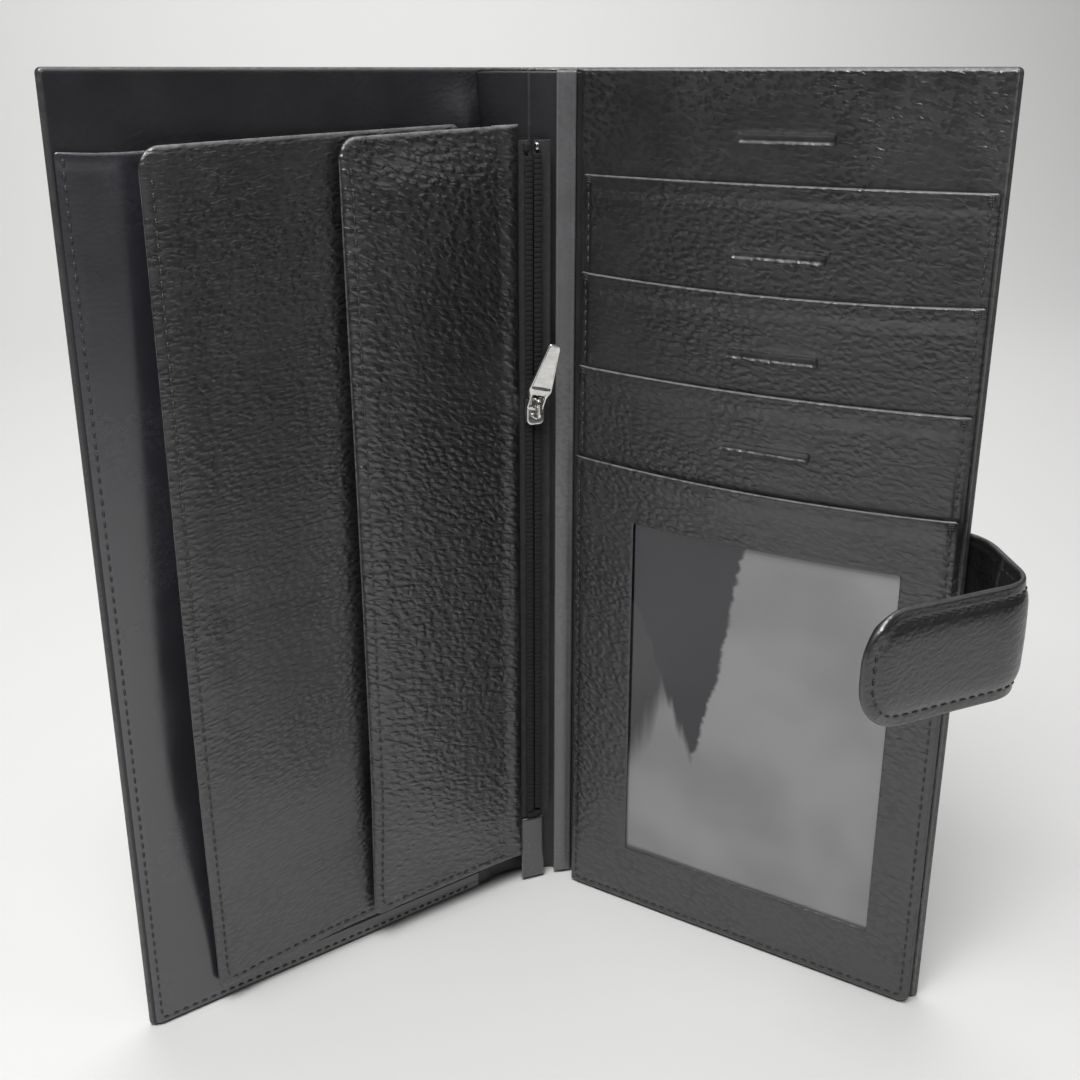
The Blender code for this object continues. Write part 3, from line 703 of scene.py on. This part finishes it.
looks.update({
    "thread": threadLook(),
    "tape": clothLook("zipTape", (0.034, 0.034, 0.036), 170.0),
    "cloth": clothLook("pouchCloth", (0.012, 0.012, 0.013), 110.0),
    "teeth": speckLook("zipTeeth", (0.008, 0.008, 0.009), 0.85, 2500.0, 0.02),
    "card": speckLook("stiffenerCard", (0.30, 0.26, 0.20), 0.85, 1400.0, 0.05),
    "nickel": metalLook("brightNickel", (0.80, 0.79, 0.77), 0.17, (300.0, 300.0, 3000.0)),
    "steel": metalLook("plainSteel", (0.45, 0.45, 0.46), 0.40, (300.0, 2600.0, 300.0)),
    "film": filmLook(),
})
print("materials made:", len(looks))


# Cover and facings
def coverThickness(u, z):
    # One ply over the board, two plies where the margin turns in; thin where the spine bends.
    rim = least(z, plan["height"] - z, plan["panelWidth"] - u)
    margin = 1 - smooth(coverShape["turnIn"], coverShape["turnIn"] + 0.5, rim)
    return coverShape["ply"] + margin * (0.15 + 0.90 * smooth(-2.0, 3.0, u))


coverShape = {
    "across": (spineEdge, plan["panelWidth"]), "up": (0.0, plan["height"]), "corners": (0, 1.2, 1.2, 0),
    "back": -0.5, "thickness": coverThickness, "split": 0.5, "roll": 0.7, "backRoll": 0.9, "coarse": 5.0,
    "ply": 1.0, "turnIn": 5.2,  # width of the turned-in margin round the board
}
spineFacingShape = {"across": (spineEdge, 5.0), "up": (0.9, 224.1), "thickness": 0.5, "roll": 0.5,
                    "back": lambda u, z: 0.75 + 0.12 * smooth(-4, 4, u)}
sides = (("left", leftPlace), ("right", rightPlace))
for word, place in sides:
    cover = leaf(word + "CoverLeather", place, coverShape, "cover",
                 lambda u, z: 0.06 * ripple(u, z, 11, 34) * smooth(3, 12, u), (True, False))
    facing = leaf(word + "SpineFacing", place, spineFacingShape, "facing", None, (True, False))
    # both: a spot on the panel at the first reach and one on the spine 5 mm past the crease are worked out
    # but not used, and each piece is baked in place
    for piece, reach in ((cover, 7.0), (facing, 4.5)):
        start, end = (spot(place, u, 0.0, midHeight) * mm for u in (reach, -5.0))
        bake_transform(piece)
    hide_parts(word + "_cover_leather", "spine_leather")
    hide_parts("spine_lining")
print("cover halves and spine facings made")

facingShape = {"across": (2.4, 104.75), "up": (0.5, 224.55), "corners": (0, 1, 1, 0), "back": 1.56,
               "thickness": 0.5, "wearAndHighlightWeights": (0, 1, 1, 1), "puff": 3.2, "wrinkles": 0.55}


def leftFacingForm(u, z):
    # The facing's loose end puffs beside the crease, most near its head.
    puff = bell(u, 8.5, 7.0) * bell(z, 211.0, 7.5)
    loose = facingShape["puff"] + facingShape["wrinkles"] * ripple(u, z, 23, 5)
    return puff * loose + 0.10 * ripple(u, z, 21, 22) * smooth(208, 214, z)


def rightFacingForm(u, z):
    return 0.10 * (1 + ripple(u, z, 22, 26)) * smooth(198, 206, z)


topBand = dict(facingShape, rule=pressedRule["levels"][0])
leaves(
    ("leftFacing", leftPlace, facingShape, "facing", "lining", leftFacingForm, "left_cover", "left_lining"),
    ("rightFacing", rightPlace, topBand, "band", "lining", rightFacingForm, "right_cover", "right_lining"))
print("panel facings made")


# Left pockets
slipShape = {"across": (6.5, 104.1), "up": (0.8, 209.3), "corners": (0, 1, 0.8, 0), "back": 2.1,
             "thickness": lambda u, z: 0.30 + 0.35 * smooth(0.0, 2.0, 104.1 - u) + 0.15 * smooth(205, 208, z),
             "roll": 0.7, "seam": (0, 1, 1, 0), "inset": 1.6, "wearAndHighlightWeights": (0, 0, 0, 1)}
pouchShape = {"across": (6.5, 83.5), "up": (5.8, 209.4), "back": 3.2, "thickness": 0.4, "roll": 0.4}
ticketEdge = 88.0
ticketShape = {"across": (6.5, ticketEdge), "up": (5.2, 210.0), "corners": (0, 2.2, 4.5, 0), "back": 4.3,
               "thickness": lambda u, z: 0.7 + 0.6 * (1 - smooth(4.5, 12.0, ticketEdge - u)), "roll": 2.1,
               "split": 0.75, "backRoll": 0.5, "seam": (0, 1, 1, 0), "inset": 2.3, "coarse": 3.0,
               "wearAndHighlightWeights": (0, 0.15, 0.1, 1.4), "gape": 7.2, "slide": 3.2, "footClimb": 2.4, "headClimb": 2.8}


def slipForm(u, z):
    # The strip by the free edge dips beside the ticket pocket's mouth.
    return (-0.05 + 0.05 * ripple(u, z, 31, 30)) * smooth(4, 12, 103.9 - u) + 0.35 * smooth(190, 209, z)


def slipSag(u, z):
    return 0.5 * np.sin(np.pi * np.clip((u - 80) / 24, 0, 1)) * smooth(150, 209, z)


def ticketOpen(u, z):
    # How far the mouth gapes, 0 to 1: most below the middle, none at the foot.
    t = np.clip((z - 5.2) / 204.8, 0, 1)
    return smooth(0.0, 0.30, t) * (1 - 0.55 * smooth(0.30, 1.0, t)) * smooth(46, ticketEdge, u)


def ticketForm(u, z):
    # The free edge stands off its panel, with a faint crease across the leather.
    crease = -0.36 * bell(z, 108 + 0.14 * (u - 66), 1.7) * smooth(46, 54, u) * smooth(86, 78, u)
    uneven = 0.16 * ripple(u, z, 41, 36) * smooth(0, 6, ticketEdge - u)
    return ticketShape["gape"] * ticketOpen(u, z) + crease + uneven


def ticketSag(u, z):
    # The foot and the head both climb towards the spine.
    foot = smooth(ticketEdge, 44, u) * (1 - smooth(5.2, 60, z))
    head = (1 - u / ticketEdge) * smooth(140, 209, z)
    return -ticketShape["footClimb"] * foot - ticketShape["headClimb"] * head


slipPlace = shifted(leftPlace, slipSag)
ticketPlace = shifted(leftPlace, ticketSag, lambda u, z: ticketShape["slide"] * ticketOpen(u, z))
leaves(
    ("slipPocket", slipPlace, slipShape, "slip", "leather", slipForm, "left_cover", "slip_pocket"),
    ("pouchLining", leftPlace, pouchShape, "cloth", "cloth",
     lambda u, z: 0.08 * ripple(u, z, 51, 20), "left_cover", "zip_pouch_lining"),
    ("ticketPocket", ticketPlace, ticketShape, "ticket", "leather", ticketForm,
     "left_cover", "ticket_pocket"))

# The note pocket's leather runs on past the crease, turns at a lip and goes down beside the zip.
noteTurn = {"freeEdge": (43.8, 6.75), "panelEnd": (5.0, 6.75), "lip": (-8.6, 6.2), "foot": (-3.9, 4.25)}
noteLine, noteLength = linePlace(
    [*(spot(leftPlace, *noteTurn[key])[:2] for key in ("freeEdge", "panelEnd")),
     *(spot(spinePlace, *noteTurn[key])[:2] for key in ("lip", "foot"))], (4.0, 3.0), 1)
noteShape = {"across": (0.0, noteLength), "up": (9.2, 209.0), "corners": (2.2, 0, 0, 4.5), "back": 0.0,
             "thickness": lambda u, z: 0.7 + 0.5 * (1 - smooth(5.0, 7.5, u)), "roll": 1.4, "split": 0.75,
             "backRoll": 0.5, "seam": (1, 0, 1, 0), "inset": 2.2, "coarse": 2.6, "wearAndHighlightWeights": (0.25, 0, 0.1, 1.5),
             "crown": 2.9, "lift": 1.4}


def noteForm(u, z):
    # A crown over the notes with its crest near the free edge, and a turned hem beside the zip.
    held = smooth(9, 45, z) * smooth(209.5, 194, z)
    crown = noteShape["crown"] * np.sin(np.pi * np.clip(u / noteLength, 0, 1) ** 0.62) * held
    lifted = noteShape["lift"] * (1 - smooth(0, 26, u)) * smooth(10, 60, z) * (1 - 0.7 * smooth(90, 209, z))
    hem = 0.45 * bell(u, noteLength - 2.6, 1.8) - 0.30 * bell(u, noteLength - 6.4, 1.6)
    uneven = 0.14 * ripple(u, z, 61, 24) * smooth(0, 6, u) * smooth(0, 6, noteLength - u)
    return crown + lifted + hem * smooth(9, 16, z) + uneven


def noteSag(u, z):
    return -(1.4 + 1.6 * u / 47) * smooth(140, 209, z)


notePlace = shifted(noteLine, noteSag)
noteBlend = ("left_cover", "spine", spot(leftPlace, 13.0, 7.0, midHeight) * mm,
             spot(spinePlace, -6.0, 5.2, midHeight) * mm)
piece = leaf("notePocket", notePlace, noteShape, "note", noteForm)
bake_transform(piece)
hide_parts("note_pocket", "zip_gusset")
print("left pockets made")


# Right pockets
bandShape = {"across": (3.6, 103.9), "foot": 0.8, "corners": (0, 1, 0.8, 0.6), "roll": 0.6, "split": 0.6,
             "seam": (1, 1, 1, 0), "inset": 1.8, "coarse": 3.0, "wearAndHighlightWeights": (0.3, 0, 0, 1), "gape": 0.30}
bands = (  # piece, node, mouth height, back offset, sag of the mouth, seed
    ("documentPocket1", "document_pocket_1", 200.5, 2.35, 0.4, 71),
    ("documentPocket2", "document_pocket_2", 177.0, 3.20, 1.7, 72),
    ("documentPocket3", "document_pocket_3", 153.5, 4.05, 1.3, 73),
    ("windowPocket", "window_pocket", 130.0, 5.35, 1.9, 74),
)


def band(mouth, back, depth, seed):
    # Frame, shape and form of one pocket: a folded hem at its mouth and sides pared thin, a mouth that
    # hangs in a shallow arc and gapes slightly, and leather that is a little uneven.
    left, right = bandShape["across"]

    def arc(u):
        t = np.clip((u - left) / (right - left), 0, 1)
        return 4 * t * (1 - t)

    def thickness(u, z):
        pared = smooth(0.0, 2.5, np.minimum(u - left, right - u))
        return 0.35 + 0.25 * pared + 0.35 * smooth(mouth - 5.0, mouth - 3.4, z) * pared

    def form(u, z):
        return bandShape["gape"] * arc(u) * smooth(mouth - 14, mouth, z) + 0.05 * ripple(u, z, seed, 28)

    shape = dict(bandShape, up=(bandShape["foot"], mouth), back=back, thickness=thickness)
    return shifted(rightPlace, lambda u, z: depth * arc(u) * smooth(mouth - 60, mouth, z)), shape, form


pockets = {name: band(*row) for name, _, *row in bands}
# the first three are plain leaves; the fourth has the window cut in it
for (name, node, *_), level in zip(bands, pressedRule["levels"][1:]):
    place, shape, form = pockets[name]
    leaves((name, place, dict(shape, rule=level), "band", "leather", form, "right_cover", node))

windowPlace, windowBand, windowForm = pockets["windowPocket"]
windowBox = (*windowBand["across"], *windowBand["up"])
windowShape = {"corners": (0.0, 2.0, 1.2, 0.6), "opening": (21.6, 92.0, 18.0, 115.3), "corner": 0.8,
               "seam": 1.6, "drop": 0.22, "steps": (44, 44, 44, 44)}
filmShape = {"across": (17.6, 96.0), "up": (14.0, 119.3), "back": 4.86, "thickness": 0.2, "roll": 0.2,
             "coarse": 3.0}
hole = roundLoop(windowShape["opening"], (windowShape["corner"],) * 4, windowShape["steps"])
outline = roundLoop(windowBox, [max(r, 0.3) for r in windowShape["corners"]], windowShape["steps"])
spread = np.array([0, .004, .012, .026, .045, .07, .1, .14, .19, .25, .33, .42, .52, .62, .71, .79, .85, .89,
                   .92, .945, .965, .98, .99, .996, 1.0])


def windowReach(u, z):
    # Distance to the nearer of the pocket's rim and the cut-out's rim.
    rim = rimDistance(u, z, windowBox, windowShape["corners"])
    return least(rim, holeDistance(u, z, windowShape["opening"]))


def windowFace(u, z):
    # The band's face with a groove along the seam, which leaves out the mouth.
    line = rimDistance(u, z, opened(windowBox, (0, 0, 0, 1)), windowShape["corners"])
    groove = leafUsual["groove"] * bell(line, windowShape["seam"], leafUsual["grooveWidth"])
    return leafFace(windowBand, u, z, windowForm)[0] - groove


drop = windowShape["drop"]
windowBack = windowBand["back"]
fit(ring("windowPocket", windowPlace, hole, outline, spread,
         lambda u, z, away: windowFace(u, z) - drop * roll(away, 0.55),
         lambda u, z, away: windowBack + (windowFace(u, z) - drop - windowBack) * roll(away, 0.3),
         windowReach, "band"), "right_cover", "window_pocket")
leaves(("windowFilm", windowPlace, filmShape, "film", "film",
        lambda u, z: 0.10 * ripple(u, z, 81, 44), "right_cover", "window_film"))
print("right pockets and window made")


# Strap
strapShape = {"up": (99.5, 125.5), "half": 13.0, "padded": 3.3, "root": 81.2, "hinge": 107.4, "offset": -2.4,
              "fold": (97.682, -17.775), "curl": (93.127, -45.900), "tip": (51.555, -56.884),
              "softBends": (8.5, 7.5), "bendReach": 7.5, "crown": 0.35, "split": 0.5, "backRoll": 0.8,
              "coarse": 1.6, "inset": 2.7, "groove": 0.22}
strapPlace, strapLength = linePlace(
    [spot(rightPlace, strapShape["root"], strapShape["offset"])[:2],
     strapShape["fold"], strapShape["curl"], strapShape["tip"]], strapShape["softBends"], -1)
rootSpan = strapShape["hinge"] - strapShape["root"]
strapMiddle = rootSpan + 13.0  # where its two halves meet
strapBends = (rootSpan - 0.65, rootSpan + 26.4)  # middles of the two soft bends


def strapPad(u, z):
    # Share of the padding at a spot, none along the stitched margin, and how much of it a bend takes off
    # the inside.
    low, high = strapShape["up"]
    pad = smooth(0.8, 6.0, least(z - low, high - z, strapLength - u))
    bend = np.maximum(bell(u, strapBends[0], 6.0), bell(u, strapBends[1], 6.0))
    return pad, bend * (0.40 + 1.05 * pad)


def strapThickness(u, z):
    pad, less = strapPad(u, z)
    return strapShape["padded"] - 1.8 * (1 - pad) - less


def strapBack(u, z):
    pad, less = strapPad(u, z)
    return 0.9 * (1 - pad) - strapShape["padded"] / 2 + less


def strapForm(u, z):
    # A parabola across the strap, a little uneven.
    across = (z - midHeight) / strapShape["half"]
    return strapShape["crown"] * (1 - across ** 2) + 0.08 * ripple(u, z, 91, 14)


strapParts = (  # name, ends, corners, capped ends, bodies, middle of the bend, nodes
    ("strapRoot", (0.0, strapMiddle), (2, 0, 0, 2), (False, True), ("right_cover", "strap_side"),
     strapBends[0], ("strap_root", "strap_side_outer", "strap_side_core", "strap_side_lining")),
    ("strapTip", (strapMiddle, strapLength), (0, 11, 11, 0), (True, False), ("strap_side", "strap_tip"),
     strapBends[1], ("strap_tip_outer", "strap_tip_core", "strap_tip_lining")),
)
for name, ends, corners, caps, bodies, bend, nodes in strapParts:
    shape = dict(strapShape, across=ends, corners=corners, back=strapBack, thickness=strapThickness,
                 seam=(not caps[0], not caps[1], 1, 1))
    piece = leaf(name, strapPlace, shape, "strap", strapForm, caps)
    reach = (bend - strapShape["bendReach"], bend + strapShape["bendReach"])
    [spot(strapPlace, u, 0.0, midHeight) * mm for u in reach]
    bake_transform(piece)
    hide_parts(*nodes)
print("strap made, length", round(strapLength, 2))


# Welt and zip
weltShape = {"across": (6.2, 11.2), "up": (0.8, 224.3), "back": 1.498, "thickness": 0.8, "roll": 0.6,
             "coarse": 5.0, "seam": (1, 1, 0, 0), "inset": 0.9, "groove": 0.08}
tabShape = {"across": (-3.5, 3.5), "up": (0.8, 20.75), "corners": (0.4, 0.4, 0.8, 0.8), "back": 0.0,
            "thickness": 0.8, "coarse": 1.5, "bulge": 0.35}
zipShape = {"up": (21.0, 208.5), "inside": 0.7, "width": 4.6, "tape": 0.4, "rib": 1.15, "pitch": 1.25,
            "rows": (23.6, 205.3)}
toothShape = {"middle": (1.20, 1.40), "half": (1.00, 0.45, 0.60), "power": 0.25}  # across, out, up


def tabForm(u, z):
    half = tabShape["across"][1]
    return tabShape["bulge"] * np.cos(np.clip(u / half, -1, 1) * np.pi / 2) * smooth(1, 10, z)


leaves(("zipWelt", spinePlace, weltShape, "welt", "lining",
        lambda u, z: 0.06 * ripple(u, z, 101, 30), "spine", "spine_strip"),
       ("zipEndTab", zipPlace, tabShape, "slip", "lining", tabForm, "spine", "zip_end_tab"))
for word, side in (("Left", -1), ("Right", 1)):
    ends = sorted((side * zipShape["inside"], side * (zipShape["inside"] + zipShape["width"])))
    shape = {"across": ends, "up": zipShape["up"], "back": 0.0, "thickness": zipShape["tape"], "roll": 0.3}
    leaves(("zipTape" + word, zipPlace, shape, "tape", "cloth",
            lambda u, z: 0.05 * np.cos(2 * np.pi * u / zipShape["rib"]), "spine", "zip_tape_" + word.lower()))


def toothRow(name, side, shift):
    # Moulded teeth: one rounded block, |x|^p + |y|^p + |z|^p = 1 with p = 8, repeated every pitch.
    turn = np.linspace(0, 2 * np.pi, 10, endpoint=False)
    tilt = np.radians([-88, -52, -18, 18, 52, 88])[:, None]
    power = toothShape["power"]
    wide, out, tall = toothShape["half"]
    girth = np.cos(tilt) ** power
    centres = np.arange(zipShape["rows"][0] + shift, zipShape["rows"][1], zipShape["pitch"])[:, None, None]
    z = centres + tall * squared(np.cos(turn), power) * girth
    u = toothShape["middle"][0] + wide * squared(np.sin(tilt), power) + 0 * z
    n = toothShape["middle"][1] + out * squared(np.sin(turn), power) * girth + 0 * z
    return tubes(name, zipPlace, side * u, n, z, np.stack([u, z], -1), "teeth", 60)


for word, side, shift in (("Left", -1, 0.6), ("Right", 1, 1.225)):
    fit(toothRow("zipTeeth" + word, side, shift), "spine", "zip_teeth_" + word.lower())
print("zip made")

stopShape = {"corners": (0.5,) * 4, "back": 0.1, "thickness": 1.5, "roll": 0.6, "coarse": 0.6}
for name, node, look, ends, up in (
        ("zipTopStopLeft", "zip_top_stop", "teeth", (-2.3, -0.6), (205.6, 208.0)),
        ("zipTopStopRight", "zip_top_stop", "nickel", (0.6, 2.0), (206.0, 208.0)),
        ("zipBottomStop", "zip_bottom_stop", "teeth", (-2.2, 2.2), (21.3, 23.5))):
    leaves((name, zipPlace, dict(stopShape, across=ends, up=up), look, look, None, "spine", node))

sliderShape = {"height": 142.0, "roll": 0.35, "backRoll": 0.25, "split": 0.5, "coarse": 0.7}
sliderParts = (  # name, across, up from the slider's height, corners, back, thickness
    ("sliderFace", (-2.5, 2.5), (-3.8, 3.4), (1.6, 1.6, 0.9, 0.9), 2.3, 0.8),
    ("sliderBack", (-2.95, 2.95), (-3.8, 3.8), (1.7, 1.7, 0.9, 0.9), -1.05, 0.8),
    ("sliderLipLeft", (-2.75, -2.3), (-3.2, 3.2), (0.3,) * 4, 0.66, 1.9),
    ("sliderLipRight", (2.3, 2.75), (-3.2, 3.2), (0.3,) * 4, 0.66, 1.9),
    ("sliderPost", (-0.45, 0.45), (1.4, 3.5), (0.3,) * 4, -0.5, 3.0),
)
bridgeShape = {"line": [(2.7, 140.35), (5.55, 140.35), (5.55, 145.25), (2.7, 145.25)], "soft": 1.3,
               "half": (0.55, 0.45), "power": 0.6}
for name, ends, up, corners, back, thick in sliderParts:
    shape = dict(sliderShape, across=ends, up=[sliderShape["height"] + v for v in up], corners=corners,
                 back=back, thickness=thick)
    leaves((name, zipPlace, shape, "nickel", "nickel", None, "zip_slider", "zip_slider"))


def bridge(name):
    # A rounded bar: a squared ellipse carried along a line in (n, z), half giving its two half widths.
    line = seamLine(bridgeShape["line"], bridgeShape["soft"])
    tangent = unit(np.gradient(line, axis=0))
    turn = np.linspace(0, 2 * np.pi, 16, endpoint=False)
    wide, deep = bridgeShape["half"]
    deep = deep * squared(np.sin(turn), bridgeShape["power"])
    u = (wide * squared(np.cos(turn), bridgeShape["power"]) + 0 * line[:, :1])[None]
    n = (line[:, :1] - tangent[:, 1:] * deep)[None]
    z = (line[:, 1:] + tangent[:, :1] * deep)[None]
    return tubes(name, zipPlace, u, n, z, np.stack([u, z], -1), "nickel")


fit(bridge("sliderBridge"), "zip_slider", "zip_slider")

pullShape = {"pin": (6.800, 48.183, 142.910), "across": (0.94653, 0.22525, -0.23099),
             "along": (0.26870, -0.15407, 0.95082), "outline": (-3.3, 3.3, -0.5, 17.7),
             "corners": (0.9, 0.9, 1.3, 1.3), "eye": (-1.7, 1.7, 0.5, 3.6), "eyeCorner": 0.5, "half": 0.5,
             "recess": 0.2, "steps": (16, 60, 12, 60)}


def pullPlace(u, n, z):
    # Frame of the pull: u across it, z along it from its pin, n out of its face.
    across, along = np.array(pullShape["across"]), np.array(pullShape["along"])
    out = np.cross(along, across)
    return np.array(pullShape["pin"]) + u[..., None] * across + n[..., None] * out + z[..., None] * along


def pullTaper(z):
    # A narrow link round the eye, full width at the shoulder, then narrowing to the tip.
    return (0.72 + 0.28 * smooth(3.0, 5.2, z)) * (1 - 0.50 * np.clip((z - 5.2) / 12.3, 0, 1))


def pullReach(u, z):
    rim = rimDistance(u / pullTaper(z), z, pullShape["outline"], pullShape["corners"])
    return least(rim, holeDistance(u, z, pullShape["eye"]))


def pullFace(u, z, away):
    # Rolled at both rims and sunk inside a border.
    recess = pullShape["recess"] * smooth(0.50, 0.75, away) * smooth(5.4, 5.9, z)
    return pullShape["half"] * (1 - roll(away, 0.35)) - recess


pullEye = roundLoop(pullShape["eye"], (pullShape["eyeCorner"],) * 4, pullShape["steps"])
pullRim = roundLoop(pullShape["outline"], pullShape["corners"], pullShape["steps"])
pullRim[:, 0] *= pullTaper(pullRim[:, 1])
pullSpread = np.concatenate([[0, .008, .02, .04, .07], np.linspace(.1, .9, 28),
                             [.92, .94, .955, .97, .98, .988, .995, 1.0]])
fit(ring("zipPull", pullPlace, pullEye, pullRim, pullSpread, pullFace,
         lambda u, z, away: -pullFace(u, z, away), pullReach, "nickel"), "zip_pull", "zip_pull")
print("slider and pull made")

for node, look in (("left_board", "card"), ("right_board", "card"), ("keeper_plate", "steel"),
                   ("strap_magnet", "steel")):
    cadNodes[node].data.materials.clear()
    cadNodes[node].data.materials.append(looks[look])
print("carried-over nodes dressed")


# Stitching
def surfaceOf(shape, form, groove=leafUsual["groove"]):
    # Height of a leaf along its seam, which lies groove deep.
    return lambda u, z: leafFace(shape, u, z, form)[0] - groove + 0 * u


leftRows = (  # name, frame, shape, form, corners of the seam, how soft they are
    ("slipStitch", slipPlace, slipShape, slipForm, [(102.6, 208.5), (102.6, 2.1), (10.0, 2.1)], 1.5),
    ("ticketStitch", ticketPlace, ticketShape, ticketForm, [(85.7, 204.0), (85.7, 7.5), (40.0, 7.5)], 3.2),
    ("noteStitch", notePlace, noteShape, noteForm, [(2.2, 203.0), (2.2, 11.4), (46.0, 11.4)], 3.2))
for name, place, shape, form, corners, soft in leftRows:
    piece = stitches(name, [seamLine(corners, soft)], place, surfaceOf(shape, form))
    if name == "noteStitch":
        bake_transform(piece)
    else:
        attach(piece, "left_cover")

bandSeam = {"ends": (5.2, 102.3), "start": 1.2, "length": 22.0, "foot": 2.4, "soft": 1.5,
            "tackHalf": 0.95, "tackStart": 0.8, "tackStep": 0.5, "tackSink": 0.05}
for name, (place, shape, form) in pockets.items():
    mouth = shape["up"][1]
    left, right = bandSeam["ends"]
    start = mouth - bandSeam["start"]
    if name == "windowPocket":
        foot = bandSeam["foot"]
        lines = [seamLine([(left, start), (left, foot), (right, foot), (right, start)], bandSeam["soft"])]
    else:
        lines = [seamLine([(end, start), (end, mouth - bandSeam["length"])]) for end in (left, right)]
    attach(stitches(name + "Stitch", lines, place, surfaceOf(shape, form)), "right_cover")
    rows = [mouth - bandSeam["tackStart"] - bandSeam["tackStep"] * k for k in range(3)]
    tacks = [np.array([(end + way * bandSeam["tackHalf"], row) for way in (-1, 1)])
             for end in (left, right) for row in rows]
    piece = stitches(name + "Tack", tacks, place, surfaceOf(shape, form, bandSeam["tackSink"]), 1, 1.8, 1.9)
    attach(piece, "right_cover")
outerSeam = [(5.2, 222.2), (102.4, 222.2), (102.4, 2.6), (5.2, 2.6)]
for word, place in sides:
    piece = stitches(word + "OuterStitch", [seamLine(outerSeam, 1.5)], place,
                     lambda u, z: coverShape["back"] + 0 * u, -1)
    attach(piece, word + "_cover")


def strapInside(u, z):
    return strapBack(u, z) + strapForm(u, z)


def strapFace(u, z):
    return strapInside(u, z) + strapThickness(u, z) - strapShape["groove"]


inset = strapShape["inset"]
low, high = strapShape["up"][0] + inset, strapShape["up"][1] - inset
for name, label, end, soft, face, outward in (
        ("strapRoot", "Stitch", inset, 1.0, strapFace, 1),
        ("strapTip", "Stitch", strapLength - inset, 8.3, strapFace, 1),
        ("strapTip", "LiningStitch", strapLength - inset, 8.3, strapInside, -1)):
    line = seamLine([(strapMiddle, low), (end, low), (end, high), (strapMiddle, high)], soft)
    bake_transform(stitches(name + label, [line], strapPlace, face, outward))
print("stitching made")


# Stage, light and camera
stageSet = {"tone": (0.72, 0.72, 0.71), "half": 2.4, "front": -1.3, "bendAt": 0.9, "bend": 0.7, "wall": 1.6}
lamps = (  # name, place in metres, aimed at, size in metres, watts
    ("overheadSoftbox", (-0.19, -0.30, 0.80), (0.0, -0.05, 0.0), 0.40, 7.1),
    ("sideSoftbox", (0.85, -0.42, 0.85), (0.0, 0.02, 0.12), 0.60, 1.3),
    ("rimSoftbox", (0.0, 0.10, 0.75), (0.0, -0.10, 0.0), 0.40, 0.8),
    ("backdropLamp", (0.10, 0.60, 1.30), (0.10, 1.60, 0.55), 1.0, 17.0),
)
roomLight = {"tone": (0.80, 0.82, 0.85), "strength": 0.06}
cameraSet = {"sensor": 36.0, "focalPixels": 1315.8, "framePixels": 1080.0, "tilt": 19.656, "turn": -11.0,
             "place": (-0.05436, -0.27412, 0.22437)}


def makeFloor():
    # A profile carried sideways: flat ground, a quarter-circle sweep behind the cover and a wall.
    turn = np.linspace(0, np.pi / 2, 24)
    bend, bendAt = stageSet["bend"], stageSet["bendAt"]
    y = np.concatenate([np.linspace(stageSet["front"], bendAt, 20)[:-1], bendAt + bend * np.sin(turn),
                        [bendAt + bend]])[:, None]
    z = np.concatenate([np.zeros(19), bend - bend * np.cos(turn), [bend + stageSet["wall"]]])[:, None]
    x = np.linspace(-stageSet["half"], stageSet["half"], 30)
    points = np.stack([x + 0 * y, y + 0 * x, z + 0 * x], -1)
    quads = gridQuads(np.arange(points[..., 0].size).reshape(points.shape[:2]))
    paper = Look("paleFloor", 0.7)
    paper.shade({"Base Color": (*stageSet["tone"], 1.0)})
    addObject("paleFloor", newMesh("paleFloor", points, quads, paper.made))


def makeLamps():
    for name, spotAt, aim, size, power in lamps:
        data = bpy.data.lights.new(name, "AREA")
        data.shape = "SQUARE"
        data.size = size
        data.energy = power
        lamp = addObject(name, data)
        lamp.location = spotAt
        toward = np.array(aim) - np.array(spotAt)
        lamp.rotation_euler = (math.acos(-toward[2] / np.linalg.norm(toward)), 0,
                               math.atan2(toward[1], toward[0]) - math.pi / 2)
    world = bpy.data.worlds.new("softRoom")
    bpy.context.scene.world = world
    world.use_nodes = True
    ground = world.node_tree.nodes["Background"]
    ground.inputs["Color"].default_value = (*roomLight["tone"], 1.0)
    ground.inputs["Strength"].default_value = roomLight["strength"]


def makeCamera():
    data = bpy.data.cameras.new("photoView")
    data.sensor_width = cameraSet["sensor"]
    data.lens = cameraSet["sensor"] * cameraSet["focalPixels"] / cameraSet["framePixels"]
    data.clip_start = 0.01
    camera = addObject("photoView", data)
    camera.location = cameraSet["place"]
    camera.rotation_euler = (math.radians(90 - cameraSet["tilt"]), 0, math.radians(cameraSet["turn"]))
    bpy.context.scene.camera = camera


makeFloor()
makeLamps()
makeCamera()
bpy.context.scene.view_settings.view_transform = "Standard"
print("stage, lamps and camera set")
